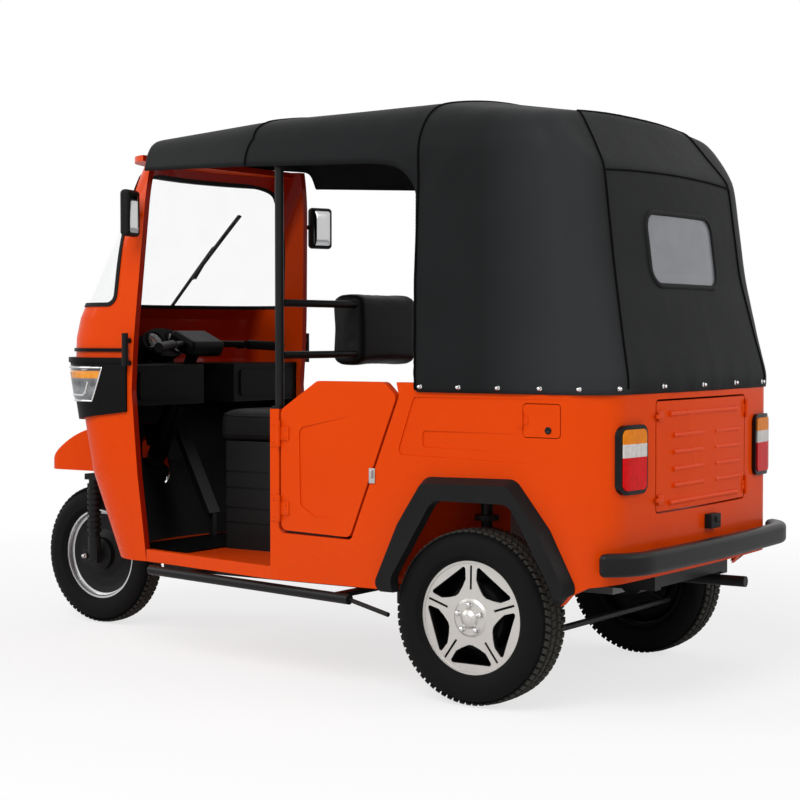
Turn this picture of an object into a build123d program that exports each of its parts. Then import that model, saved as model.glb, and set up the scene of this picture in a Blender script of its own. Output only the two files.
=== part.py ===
from build123d import *
from math import atan2, cos, radians, sin, sqrt, tan
import os

# Stance, measured from the rear axle on the ground
WHEELBASE = 2000.0
TRACK = 1090.0
TYRE_RADIUS = 261.0
REAR_TYRE_WIDTH = 150.0
FRONT_TYRE_WIDTH = 106.0
RIM_RADIUS = 168.0
REAR_OVERHANG = 545.0

# Lower body
BODY_HALF = 605.0
WALL = 28.0
REAR_FACE = 468.0
REAR_CORNER = 130.0
REAR_CROWN = 6000.0
FLOOR_TOP = 346.0
FLOOR_THICKNESS = 24.0
BODY_TOP = 948.0
HEM_Z = 920.0
POST_FRONT = 735.0
POST_REAR = 700.0
POST_TOP = 858.0
REAR_SPLIT = 345.0
DOOR_GAP = 8.0
SEAT_FRONT = 330.0
DECK_TOP = 620.0
PRESS = 4.0

# Cab front
CAB_HALF = 484.0
COWL_TOP = 1150.0
SCREEN_LOW = 1187.0
SCREEN_HIGH = 1652.0
FRAME_TOP = 1700.0
CAB_WALL = 24.0
CORNER_R = 180.0
CROWN_R = 900.0
SEAL_WIDTH = 14.0
LINER_T = 5.0
MAT_T = 6.0

# Canopy
HOOD_T = 8.0
HOOD_FRONT = 188.0
SEAM_Z = 1565.0
ROOF_EDGE = 1612.0
ROOF_FRONT = 1466.0
ROOF_FRONT_R = 1200.0
TUBE_R = 14.0
PILLAR_X = 716.0
PILLAR_Y = 580.0

# Steering
RAKE = 25.0
HEAD_X = 1545.0
HEAD_Z = 1058.0
STEM_R = 22.0
YOKE_TOP = 570.0
YOKE_T = 22.0
SHOCK_Y = 86.0

# Fits
SKIN = 0.3
RUN = 0.05

FRONT_X = WHEELBASE
FLOOR_LOW = FLOOR_TOP - FLOOR_THICKNESS
BODY_INNER = BODY_HALF - WALL
REAR_INNER = REAR_FACE - WALL
TOTAL_LENGTH = REAR_OVERHANG + WHEELBASE + TYRE_RADIUS
SHIFT_X = REAR_OVERHANG - TOTAL_LENGTH / 2
FAR = 900.0


# Small helpers for outlines and prisms
def face_of(points, radius=0.0):
    face = make_face(Polyline(*points, close=True))
    if radius > 0:
        face = fillet(face.vertices(), radius)
    return face


def side_cut(face, y0=-FAR, y1=FAR):
    return Pos(0, y1, 0) * extrude(Plane.XZ * face, y1 - y0)


def side_prism(points, y0=-FAR, y1=FAR, radius=0.0):
    return side_cut(face_of(points, radius), y0, y1)


def plan_prism(points, z0, z1):
    return Pos(0, 0, z0) * extrude(Plane.XY * face_of(points), z1 - z0)


def front_prism(face, x0, x1):
    return Pos(x0, 0, 0) * extrude(Plane.YZ * face, x1 - x0)


def block(x0, x1, y0, y1, z0, z1):
    box = Box(x1 - x0, y1 - y0, z1 - z0)
    return Pos((x0 + x1) / 2, (y0 + y1) / 2, (z0 + z1) / 2) * box


def rod(start, end, radius):
    along = Vector(*end) - Vector(*start)
    plane = Plane(origin=start, z_dir=along)
    return plane * Cylinder(radius, along.length, align=(Align.CENTER, Align.CENTER, Align.MIN))


def mirrored(shape):
    return mirror(shape, about=Plane.XZ)


def both(shape):
    return Compound([*shape.solids(), *mirrored(shape).solids()])


# Bow-shaped outline: straight sides, round corners and a crowned end
def bow_face(end, half, corner, crown, back):
    centre = end - crown
    cv = half - corner
    cu = centre + sqrt((crown - corner) ** 2 - cv ** 2)
    grow = crown / (crown - corner)
    tu = centre + (cu - centre) * grow
    tv = cv * grow
    turn = (atan2(cv, cu - centre) + radians(90)) / 2
    mu = cu + corner * cos(turn)
    mv = cv + corner * sin(turn)
    edges = [
        Line((back, -half), (cu, -half)),
        ThreePointArc((cu, -half), (mu, -mv), (tu, -tv)),
        ThreePointArc((tu, -tv), (end, 0), (tu, tv)),
        ThreePointArc((tu, tv), (mu, mv), (cu, half)),
        Line((cu, half), (back, half)),
        Line((back, half), (back, -half)),
    ]
    return make_face(edges)


# Plan rows of the cab front: height, distance behind the front axle, extra width on each side
NOSE_ROWS = [
    (FLOOR_LOW, 352.0, -6.0),
    (620.0, 226.0, 0.0),
    (1000.0, 150.0, 4.0),
    (1080.0, 153.0, 3.0),
    (COWL_TOP, 172.0, 0.0),
]
SCREEN_ROWS = [(COWL_TOP, 172.0, 0.0), (FRAME_TOP, 475.0, -36.0)]
CAB_BACK = 1250.0


def cab_solid(rows, grow, ahead=0.0):
    faces = []
    for z, behind, wider in rows:
        end = FRONT_X - behind + grow + ahead
        outline = bow_face(end, CAB_HALF + wider + grow, CORNER_R + grow, CROWN_R + grow, CAB_BACK)
        faces.append(Plane.XY.offset(z) * outline)
    return loft(faces, ruled=True)


def cab_shell(rows, outer, inner):
    return cab_solid(rows, outer) - cab_solid(rows, inner)


# Rear edge of the cab sides, seen from the side: distance behind the front axle, height
PILLAR_EDGE = [(636.0, 300.0), (600.0, 613.0), (578.0, 900.0), (598.0, 1200.0), (628.0, 1720.0)]
AHEAD = [(FRONT_X - behind, z) for behind, z in PILLAR_EDGE]
AHEAD = AHEAD + [(FRONT_X + 100, 1720), (FRONT_X + 100, 300)]
ahead_of_pillar = side_prism(AHEAD)
cab_inside = cab_solid(NOSE_ROWS, -CAB_WALL - SKIN)
liner_inside = cab_solid(NOSE_ROWS, -CAB_WALL - LINER_T - SKIN)

# Steering axis
axis_up = Vector(-sin(radians(RAKE)), 0, cos(radians(RAKE)))


def on_axis(z):
    return (HEAD_X + (HEAD_Z - z) * tan(radians(RAKE)), 0, z)


def on_stem(z0, z1, radius):
    return rod(on_axis(z0), on_axis(z1), radius)


# Nose cowl with its steering opening
COLUMN_HOLE = STEM_R + 48.0
nose = cab_shell(NOSE_ROWS, 0, -CAB_WALL) & ahead_of_pillar
nose = nose - on_stem(720, 400, COLUMN_HOLE)

# Windscreen frame with pillars, header and a visor plate over the header
OPENING = [
    (FRONT_X - 506, SCREEN_LOW),
    (FRONT_X - 546, SCREEN_HIGH),
    (FRONT_X + 50, SCREEN_HIGH),
    (FRONT_X + 50, SCREEN_LOW),
]
OPENING_R = 46.0
VISOR_T = 20.0
VISOR_END = FRONT_X - 414.0
VISOR_BACK = FRONT_X - 600.0
opening_face = face_of(OPENING, OPENING_R)


def opening_prism(inset):
    return side_cut(offset(opening_face, -inset) if inset > 0 else opening_face)


visor_face = bow_face(VISOR_END, CAB_HALF - 30, CORNER_R, CROWN_R, CAB_BACK)
visor = Pos(0, 0, FRAME_TOP - VISOR_T) * extrude(visor_face, VISOR_T)
visor = visor & block(VISOR_BACK, FRONT_X, -CAB_HALF, CAB_HALF, FRAME_TOP - VISOR_T, FRAME_TOP)
frame = (cab_shell(SCREEN_ROWS, 0, -CAB_WALL) & ahead_of_pillar) + visor
frame = frame - opening_prism(0)

# Screen seal, glass and wiper
seal = cab_shell(SCREEN_ROWS, 4, -CAB_WALL) & (opening_prism(SKIN) - opening_prism(SEAL_WIDTH))
glass = cab_shell(SCREEN_ROWS, -6, -11) & opening_prism(SEAL_WIDTH + SKIN)
WIPER_PIVOT = (-150.0, 1166.0)
WIPER_JOINT = (-242.0, 1421.0)
BLADE_ENDS = ((-196.0, 1301.0), (-290.0, 1540.0))


def strip_face(start, end, width):
    along = Vector(end[0] - start[0], end[1] - start[1], 0).normalized() * (width / 2)
    return face_of([
        (start[0] - along.Y, start[1] + along.X),
        (end[0] - along.Y, end[1] + along.X),
        (end[0] + along.Y, end[1] - along.X),
        (start[0] + along.Y, start[1] - along.X),
    ])


arm = cab_shell(SCREEN_ROWS, 20, 12) & front_prism(strip_face(WIPER_PIVOT, WIPER_JOINT, 11), 1300, 1900)
blade = cab_shell(SCREEN_ROWS, 14, 5) & front_prism(strip_face(*BLADE_ENDS, 13), 1300, 1900)
wiper_post = rod((1780, *WIPER_PIVOT), (1832, *WIPER_PIVOT), 12) - cab_solid(SCREEN_ROWS, SKIN)
wiper = arm + blade + wiper_post

# Lamp panels wrapped round the nose corners, with a brow above and a trim strip over the nose
PANEL_ZONE = [
    (FRONT_X - 560, 1012),
    (FRONT_X - 558, 828),
    (FRONT_X - 300, 798),
    (FRONT_X - 200, 784),
    (FRONT_X + 60, 815),
    (FRONT_X + 60, 1012),
]
LAMP_ZONE = [
    (FRONT_X - 402, 984),
    (FRONT_X - 344, 860),
    (FRONT_X + 60, 842),
    (FRONT_X + 60, 984),
]
PANEL_INNER_Y = 190.0
LAMP_INNER_Y = 215.0
PANEL_GROW = 8.0
PANEL_AHEAD = 18.0
BROW_Z = 994.0
lamp_face = face_of(LAMP_ZONE)
skin_solid = cab_solid(NOSE_ROWS, SKIN)
lamp_panel = cab_solid(NOSE_ROWS, PANEL_GROW, PANEL_AHEAD) - skin_solid
lamp_panel = lamp_panel & side_prism(PANEL_ZONE, PANEL_INNER_Y)
brow = cab_solid(NOSE_ROWS, PANEL_GROW + 5, PANEL_AHEAD) - skin_solid
brow = brow & side_prism(PANEL_ZONE, PANEL_INNER_Y) & block(0, 3000, 0, FAR, BROW_Z, 1100)
lamp_panel = lamp_panel + brow
lamp_panel = lamp_panel - side_cut(lamp_face, LAMP_INNER_Y)
lens_face = offset(lamp_face, -1)
headlamp = cab_solid(NOSE_ROWS, PANEL_GROW + 3, PANEL_AHEAD) - skin_solid
headlamp = headlamp & side_cut(lens_face, LAMP_INNER_Y + 1)
STRIP_LOW = 1032.0
STRIP_HIGH = 1044.0
strip = cab_shell(NOSE_ROWS, 7, SKIN) & block(FRONT_X - 560, FRONT_X, -FAR, FAR, STRIP_LOW, STRIP_HIGH)
lamp_panels = Compound([*both(lamp_panel).solids(), *strip.solids()])

# Front mudguard: a beak over the wheel, open below
GUARD_HALF = 135.0
GUARD_LOW = 584.0
GUARD_T = 8.0
GUARD_TIP = 180.0


def guard_solid(inset):
    tip = (FRONT_X + GUARD_TIP - inset, GUARD_LOW)
    top = (FRONT_X - 150, 752 - inset)
    arc = ThreePointArc(tip, (FRONT_X + 72 - inset, 688 - inset), top)
    low = Polyline(top, (FRONT_X - 320, 752 - inset), (FRONT_X - 320, GUARD_LOW), tip)
    side = side_cut(make_face([arc, low]), -GUARD_HALF + inset, GUARD_HALF - inset)
    plan = bow_face(tip[0] + 10, GUARD_HALF - inset, 60 - inset, 200 - inset, FRONT_X - 400)
    return side & (Pos(0, 0, GUARD_LOW) * extrude(plan, 300))


mudguard = guard_solid(0) - guard_solid(GUARD_T) - skin_solid

# Dashboard: two bins beside the column, and an instrument pod ahead of the handlebar
DASH_BACK = FRONT_X - 560.0
DASH_LOW = 845.0
DASH_TOP = 985.0
DASH_GAP = 85.0
POD_X = FRONT_X - 285.0
POD_Z = 1052.0
dash = block(DASH_BACK, FRONT_X, -FAR, FAR, DASH_LOW, DASH_TOP)
dash = dash - block(DASH_BACK - 50, FRONT_X - 345, -DASH_GAP, DASH_GAP, DASH_LOW - 10, DASH_TOP + 10)
for s in (-1, 1):
    lid = block(DASH_BACK - 6, DASH_BACK + 4, -155, 155, DASH_LOW + 22, DASH_TOP - 22)
    dash = dash + Pos(0, s * 275, 0) * fillet(lid.edges().filter_by(Axis.X), 14)
pod_plane = Plane(origin=(POD_X, 0, POD_Z), x_dir=(0, 1, 0), z_dir=(-1, 0, 0.5))
dash = dash + pod_plane * extrude(Ellipse(122, 58), 24) + pod_plane * extrude(Ellipse(122, 58), -90)
dash = dash + block(POD_X, FRONT_X, -70, 70, DASH_TOP - 10, POD_Z - 12)
for s in (-1, 1):
    dial = Pos(s * 54, 0, 24) * (Cylinder(46, 12) - Pos(0, 0, 4) * Cylinder(40, 8))
    dash = dash + pod_plane * dial
dash = dash & cab_inside & ahead_of_pillar
dash = dash - on_stem(1000, 700, STEM_R + 26)

# Steering head fixed to the nose
HEAD_LOW = 640.0
HEAD_HIGH = 840.0
WEB_LOW = 680.0
WEB_HIGH = 760.0
WEB_HALF = 30.0
head_web = block(FRONT_X - 300, FRONT_X - 100, -WEB_HALF, WEB_HALF, WEB_LOW, WEB_HIGH) & cab_inside
steering_head = on_stem(HEAD_HIGH, HEAD_LOW, STEM_R + 14) + head_web
steering_head = steering_head - on_stem(HEAD_HIGH + 50, HEAD_LOW - 50, STEM_R + RUN)

# Floor pan and tapered sills
SILL_FRONT = FRONT_X - 634.0
FOOT_HALF = CAB_HALF + NOSE_ROWS[0][2]
SILL_HEIGHT = 16.0
entry = [(POST_FRONT, -BODY_HALF), (SILL_FRONT, -FOOT_HALF)]
entry = entry + [(x, -y) for x, y in reversed(entry)]
edge = [(POST_FRONT, BODY_HALF), (SILL_FRONT, FOOT_HALF)]
edge = edge + [(SILL_FRONT, FOOT_HALF - CAB_WALL), (POST_FRONT, BODY_HALF - WALL)]
sill = plan_prism(edge, FLOOR_TOP, FLOOR_TOP + SILL_HEIGHT)
cab_floor = block(SILL_FRONT, FRONT_X, -CAB_HALF, CAB_HALF, FLOOR_LOW, FLOOR_TOP) & cab_inside
nose_wall = cab_shell(NOSE_ROWS, SKIN, -CAB_WALL - SKIN) & Pos(-SKIN, 0, 0) * ahead_of_pillar
floor_pan = block(SEAT_FRONT, POST_FRONT, -BODY_INNER, BODY_INNER, FLOOR_LOW, FLOOR_TOP)
floor_pan = floor_pan + plan_prism(entry, FLOOR_LOW, FLOOR_TOP)
floor_pan = floor_pan + sill + mirrored(sill) - nose_wall + cab_floor

# Brake pedal on its slanted arm
PEDAL_Y0 = -112.0
PEDAL_Y1 = -50.0
PEDAL_TOP = 744.0
PEDAL_T = 16.0
pedal_zone = [(FRONT_X - 316, PEDAL_TOP), (FRONT_X - 296, PEDAL_TOP - 9)]
pedal_zone = pedal_zone + [(FRONT_X - 452, 424), (FRONT_X - 472, 434)]
pedal_arm = block(FRONT_X - 310, FRONT_X - 150, PEDAL_Y0 + 16, PEDAL_Y1 - 16, PEDAL_TOP - PEDAL_T, PEDAL_TOP)
pedal = side_prism(pedal_zone, PEDAL_Y0, PEDAL_Y1) + pedal_arm
pedal = pedal + block(FRONT_X - 470, FRONT_X - 454, PEDAL_Y0 + 20, PEDAL_Y1 - 20, FLOOR_TOP + MAT_T, 432)
pedal = pedal & cab_inside

# Black liner of the footwell, and the floor mat
liner = cab_shell(NOSE_ROWS, -CAB_WALL - SKIN, -CAB_WALL - LINER_T)
liner = liner & block(DASH_BACK, FRONT_X, -FAR, FAR, FLOOR_TOP + SKIN, DASH_LOW - SKIN) & ahead_of_pillar
liner = liner - on_stem(760, 400, COLUMN_HOLE)
liner = liner - block(FRONT_X - 320, FRONT_X, -WEB_HALF - 3, WEB_HALF + 3, WEB_LOW - 3, WEB_HIGH + 3)
slot_low = PEDAL_TOP - PEDAL_T - 3
pedal_slot = block(FRONT_X - 320, FRONT_X, PEDAL_Y0 + 13, PEDAL_Y1 - 13, slot_low, PEDAL_TOP + 3)
liner = liner - pedal_slot
MAT_BACK = 1266.0
mat_half = [(MAT_BACK, 380.0), (1480.0, 380.0), (1556.0, 300.0)]
mat_points = mat_half + [(x, -y) for x, y in reversed(mat_half)]
mat = plan_prism(mat_points, FLOOR_TOP, FLOOR_TOP + MAT_T)
footwell_liner = Compound([*liner.solids(), *mat.solids()])

# Lower body shell
plan_rear = mirror(bow_face(REAR_FACE, BODY_HALF, REAR_CORNER, REAR_CROWN, -POST_FRONT), about=Plane.YZ)
inner_bow = bow_face(REAR_INNER, BODY_INNER, REAR_CORNER - WALL, REAR_CROWN - WALL, -POST_FRONT - 10)
plan_inner = mirror(inner_bow, about=Plane.YZ)
body_outer = Pos(0, 0, FLOOR_LOW) * extrude(plan_rear, BODY_TOP - FLOOR_LOW)
shell = body_outer - Pos(0, 0, FLOOR_LOW - 1) * extrude(plan_inner, BODY_TOP)
SKIRT = [(-286, 300), (-330, 350), (-380, 376), (-REAR_FACE - 50, 392), (-REAR_FACE - 50, 300)]
shell = shell - side_prism(SKIRT)

# Door outline and its opening
DOOR_EDGE = POST_REAR - DOOR_GAP
DOOR_OUTLINE = [(DOOR_EDGE, 480), (430, 472), (257, 905), (302, BODY_TOP), (552, BODY_TOP), (DOOR_EDGE, 856)]
OPEN_LOW = [(POST_REAR, 470), (424, 464), (248, 906), (270, BODY_TOP + 60), (POST_REAR, BODY_TOP + 60)]
door_face = face_of(DOOR_OUTLINE, 24)
shell = shell - side_prism(OPEN_LOW, radius=20)
shell = shell - block(POST_REAR, POST_FRONT + 5, -FAR, FAR, POST_TOP, BODY_TOP + 60)


# A pressed field in the left side, deepest in front and fading to nothing behind
def pressed(outline, radius, depth):
    xs = [x for x, z in outline]
    front = max(xs)
    back = min(xs)
    over = BODY_HALF + 20
    wedge = [(front + 1, BODY_HALF - depth), (back, BODY_HALF), (back, over), (front + 1, over)]
    field = side_prism(outline, BODY_HALF - 12, BODY_HALF + 12, radius)
    return field & plan_prism(wedge, FLOOR_LOW, BODY_TOP)


QUARTER_FIELD = [(196, 906), (256, 732), (-430, 717), (-430, 906)]
QUARTER_PANEL = [(166, 806), (166, 757), (-345, 749), (-345, 806)]
DOOR_FIELD = [(622, 802), (618, 560), (560, 528), (486, 524), (384, 852)]
quarter_press = pressed(QUARTER_FIELD, 16, PRESS) + pressed(QUARTER_PANEL, 12, PRESS + 3)

# Wheel arches
ARCH_IN = [(292, 300), (106, 604), (-156, 604), (-334, 300)]
ARCH_OUT = [(352, 300), (244, 536), (155, 670), (-157, 675), (-269, 536), (-378, 330)]
FLARE_OUT = 40.0
ARCH_MARGIN = 16.0
arch_in = face_of(ARCH_IN, 52)
arch_out = face_of(ARCH_OUT, 46)
shell = shell - side_cut(offset(arch_in, ARCH_MARGIN))
flare = Pos(0, BODY_HALF + SKIN, 0) * extrude(Plane.XZ * arch_out, -FLARE_OUT, taper=24)
flare = flare - side_cut(arch_in) - block(-600, 600, 0, FAR, 280, FLOOR_LOW) - side_prism(SKIRT)
arch_flares = both(flare)

# Hinges: a fixed half with its pin, and a swinging half
KNUCKLE_R = 7.0
PIN_R = 4.0
HINGE_H = 82.0
LEAF = 36.0
LEAF_T = 4.0
HINGE_OFF = 8.0


def hinge_pair(plane, size):
    end = HINGE_H * size / 2
    mid = HINGE_H * size / 4
    r = KNUCKLE_R * size
    low = -HINGE_OFF * size
    top = low + LEAF_T * size
    fixed = block(r + 1.5, LEAF * size, low, top, -end, end)
    moving = block(-LEAF * size, -r - 1.5, low, top, -mid, mid)
    for z0, z1 in ((-end, -mid - 0.5), (mid + 0.5, end)):
        fixed = fixed + rod((0, 0, z0), (0, 0, z1), r) + block(0, r + 2, low, top, z0, z1)
    fixed = fixed + rod((0, 0, -end), (0, 0, end), PIN_R * size)
    moving = moving + rod((0, 0, -mid), (0, 0, mid), r) + block(-r - 2, 0, low, top, -mid, mid)
    moving = moving - rod((0, 0, -end), (0, 0, end), PIN_R * size + RUN)
    return plane * fixed, plane * moving


DOOR_AXIS_X = POST_REAR - DOOR_GAP / 2
DOOR_AXIS_Y = BODY_HALF + HINGE_OFF
DOOR_HINGES = (548.0, 782.0)
door_left = side_cut(door_face, BODY_HALF - WALL, BODY_HALF) - pressed(DOOR_FIELD, 26, PRESS)
left_hinges = Part()
for hinge_z in DOOR_HINGES:
    place = Plane(origin=(DOOR_AXIS_X, DOOR_AXIS_Y, hinge_z), x_dir=(1, 0, 0), z_dir=(0, 0, 1))
    fixed, moving = hinge_pair(place, 1.0)
    left_hinges = left_hinges + fixed
    door_left = door_left + moving
door_right = mirrored(door_left)

# Fuel flap in the left quarter
FLAP_FRONT = -180.0
FLAP_BACK = -300.0
FLAP_LOW = 798.0
FLAP_HIGH = 892.0
FLAP_T = 6.0
FLAP_GAP = 2.5
FLAP_SIZE = 0.5
FLAP_R = 10.0
flap_x = (FLAP_FRONT + FLAP_BACK) / 2
flap_z = (FLAP_LOW + FLAP_HIGH) / 2
flap_points = [(FLAP_BACK, FLAP_LOW), (FLAP_FRONT, FLAP_LOW)]
flap_points = flap_points + [(x, FLAP_HIGH) for x, z in reversed(flap_points)]
flap_face = face_of(flap_points, FLAP_R)
flap_pocket = side_cut(offset(flap_face, FLAP_GAP), BODY_HALF - 20, BODY_HALF + 5)
flap_axis = (FLAP_FRONT + FLAP_GAP / 2, BODY_HALF + HINGE_OFF * FLAP_SIZE, flap_z)
flap_fixed, flap_moving = hinge_pair(Plane(origin=flap_axis, x_dir=(1, 0, 0), z_dir=(0, 0, 1)), FLAP_SIZE)
fuel_flap = side_cut(flap_face, BODY_HALF - FLAP_T, BODY_HALF) + flap_moving
seat_x = FLAP_FRONT + FLAP_GAP + 0.5
seat_end = FLAP_FRONT + LEAF * FLAP_SIZE + 4
flap_seat = block(seat_x, seat_end, BODY_HALF - 9, BODY_HALF, flap_z - 24, flap_z + 24)
filler = rod((flap_x, BODY_HALF - 22, flap_z), (flap_x, BODY_HALF - 12, flap_z), 26)

# Side panels
side_plain = shell & block(-700, POST_FRONT + 10, REAR_SPLIT, FAR, 200, 1100)
side_plain = side_plain - quarter_press
side_right = mirrored(side_plain + left_hinges)
side_left = side_plain - flap_pocket + filler + flap_seat + flap_fixed + left_hinges

# Rear panel and hatch
HATCH_HALF = 316.0
HATCH_LOW = 574.0
HATCH_HIGH = 896.0
HATCH_GAP = 6.0
HATCH_HINGES = (612.0, 856.0)
HATCH_SIZE = 0.7
hatch_points = [(-HATCH_HALF, HATCH_LOW), (HATCH_HALF, HATCH_LOW)]
hatch_points = hatch_points + [(y, HATCH_HIGH) for y, z in reversed(hatch_points)]
hatch_face = face_of(hatch_points, 12)
hatch_zone = front_prism(hatch_face, -700, -300)
hatch_hole = front_prism(offset(hatch_face, HATCH_GAP), -700, -300)
rear_panel = (shell & block(-700, -200, -REAR_SPLIT, REAR_SPLIT, 200, 1100)) - hatch_hole
hatch = (body_outer - Pos(WALL, 0, 0) * body_outer) & hatch_zone
hatch_dip = REAR_CROWN - sqrt(REAR_CROWN ** 2 - HATCH_HALF ** 2)
HATCH_AXIS_Y = -(HATCH_HALF + HATCH_GAP / 2)
HATCH_AXIS_X = -REAR_FACE + hatch_dip - HINGE_OFF * HATCH_SIZE
for hinge_z in HATCH_HINGES:
    place = Plane(origin=(HATCH_AXIS_X, HATCH_AXIS_Y, hinge_z), x_dir=(0, -1, 0), z_dir=(0, 0, -1))
    fixed, moving = hinge_pair(place, HATCH_SIZE)
    boss = block(-REAR_FACE + 6, -REAR_FACE + 14, -REAR_SPLIT + 1, HATCH_AXIS_Y - 7, hinge_z - 20, hinge_z + 20)
    rear_panel = rear_panel + fixed + boss
    hatch = hatch + moving

# Pressed ribs of the hatch: middle y, half length, heights
RIB_R = 7.0
RIB_ROWS = [(0.0, 243.0, (858.0, 596.0)), (111.0, 104.0, (794.0, 744.0, 694.0, 645.0))]
RIB_ROWS = RIB_ROWS + [(-172.0, 92.0, RIB_ROWS[1][2])]
for y, half, heights in RIB_ROWS:
    for z in heights:
        x = -REAR_FACE + 2 + y ** 2 / (2 * REAR_CROWN)
        rib = rod((x, y - half, z), (x, y + half, z), RIB_R)
        hatch = hatch + (rib & block(-700, -REAR_FACE + 12, -400, 400, 0, 1000))

# Tail lamps wrapped on the rear corners: a rubber bezel round a ribbed lens
LAMP_Y0 = 388.0
LAMP_Y1 = 532.0
LAMP_Z0 = 636.0
LAMP_Z1 = 834.0
LAMP_R = 30.0
BEZEL_W = 12.0
BEZEL_OUT = 13.0
LENS_OUT = 17.0
lamp_points = [(LAMP_Y0, LAMP_Z0), (LAMP_Y1, LAMP_Z0), (LAMP_Y1, LAMP_Z1), (LAMP_Y0, LAMP_Z1)]
tail_face = face_of(lamp_points, LAMP_R)


def rear_skin(grow):
    bow = bow_face(REAR_FACE + grow, BODY_HALF + grow, REAR_CORNER + grow, REAR_CROWN + grow, 200)
    return Pos(0, 0, 500) * extrude(mirror(bow, about=Plane.YZ), 500)


rear_seat = rear_skin(SKIN)
bezel = front_prism(tail_face, -700, -360) - front_prism(offset(tail_face, -BEZEL_W), -700, -360)
bezel = (rear_skin(BEZEL_OUT) - rear_seat) & bezel
lens = (rear_skin(LENS_OUT) - rear_seat) & front_prism(offset(tail_face, -BEZEL_W - SKIN), -700, -360)
tail_bezels = both(bezel)
tail_lamps = both(lens)

# Rear bumper on two brackets
BUMPER_LOW = 412.0
BUMPER_HIGH = 478.0
BUMPER_T = 48.0
BUMPER_HALF = 645.0
BUMPER_CORNER = 190.0
BUMPER_CROWN = 9000.0
BUMPER_ROUND = 16.0
BUMPER_END = -425.0
bumper_out = bow_face(REAR_OVERHANG, BUMPER_HALF, BUMPER_CORNER, BUMPER_CROWN, 300)
inner_half = BUMPER_HALF - BUMPER_T
inner_corner = BUMPER_CORNER - BUMPER_T
bumper_in = bow_face(REAR_OVERHANG - BUMPER_T, inner_half, inner_corner, BUMPER_CROWN - BUMPER_T, 290)
bumper_plan = mirror(bumper_out - bumper_in, about=Plane.YZ)
bumper = Pos(0, 0, BUMPER_LOW) * extrude(bumper_plan, BUMPER_HIGH - BUMPER_LOW)
bumper = bumper & block(-REAR_OVERHANG - 10, BUMPER_END, -FAR, FAR, BUMPER_LOW, BUMPER_HIGH)
bumper = fillet(bumper.edges(), BUMPER_ROUND)
bracket = block(-REAR_OVERHANG + 30, -REAR_FACE + 20, 270, 330, 425, 465) - body_outer
rear_bumper = bumper + bracket + mirrored(bracket)

# Chassis rails kicked up over the half shafts, and cross members between them
RAIL_Y = 240.0
RAIL_W = 40.0
RAIL_H = 60.0
RAIL_END = FRONT_X - 520.0
RAIL_BACK = -430.0
KICK = 72.0
RAIL_LOW = FLOOR_LOW - RAIL_H
RAIL_OUT = RAIL_Y + RAIL_W / 2
RAIL_IN = RAIL_Y - RAIL_W / 2
rail_points = [(RAIL_BACK, RAIL_LOW + KICK), (110, RAIL_LOW + KICK), (290, RAIL_LOW), (RAIL_END, RAIL_LOW)]
rail_points = rail_points + [(RAIL_END, FLOOR_LOW), (SEAT_FRONT - 20, FLOOR_LOW)]
rail_points = rail_points + [(130, FLOOR_LOW + KICK), (RAIL_BACK, FLOOR_LOW + KICK)]
rails = both(side_prism(rail_points, RAIL_IN, RAIL_OUT)).solids()
for x, lift in ((-405.0, KICK), (320.0, 0.0), (850.0, 0.0), (1400.0, 0.0)):
    member = block(x - 25, x + 25, -RAIL_IN + SKIN, RAIL_IN - SKIN, RAIL_LOW + 8, FLOOR_LOW - 8)
    rails = rails + (Pos(0, 0, lift) * member).solids()
chassis_rails = Compound([*rails])

# Passenger bench box, cushion and backrest
DECK_T = 16.0
BENCH_HALF = 505.0
riser = block(SEAT_FRONT - 14, SEAT_FRONT, -BODY_INNER + 1, BODY_INNER - 1, FLOOR_TOP, DECK_TOP - DECK_T)
deck = block(-REAR_INNER + 40, SEAT_FRONT, -BODY_INNER + 1, BODY_INNER - 1, DECK_TOP - DECK_T, DECK_TOP)
bench_box = (riser + deck) & Pos(0, 0, FLOOR_TOP - 1) * extrude(offset(plan_inner, -1), BODY_TOP)
bench_cushion = block(-140, SEAT_FRONT - 4, -BENCH_HALF, BENCH_HALF, DECK_TOP, DECK_TOP + 118)
bench_cushion = fillet(bench_cushion.edges(), 26)
bench_back = fillet(block(-60, 50, -BENCH_HALF, BENCH_HALF, -329.5, 230).edges(), 28)
bench_back = Pos(-268, 0, DECK_TOP + 330) * Rot(0, -12, 0) * bench_back

# Driver's seat on its grooved box
SEAT_HALF = 190.0
SEAT_X0 = 760.0
SEAT_X1 = 1252.0
SEAT_BASE = 722.0
GROOVE = 5.0
seat_box = block(SEAT_X0, SEAT_X1, -SEAT_HALF, SEAT_HALF, FLOOR_TOP, SEAT_BASE)
for z in (437.0, 489.0, 559.0, 615.0):
    ring = block(SEAT_X0 - 9, SEAT_X1 + 9, -SEAT_HALF - 9, SEAT_HALF + 9, z - 4, z + 4)
    core = block(SEAT_X0 + GROOVE, SEAT_X1 - GROOVE, -SEAT_HALF + GROOVE, SEAT_HALF - GROOVE, z - 4, z + 4)
    seat_box = seat_box - (ring - core)
PAD_HALF = SEAT_HALF + 22
driver_cushion = block(SEAT_X0 - 10, SEAT_X1 + 38, -PAD_HALF, PAD_HALF, SEAT_BASE, SEAT_BASE + 112)
driver_cushion = fillet(driver_cushion.edges(), 26)

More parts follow.
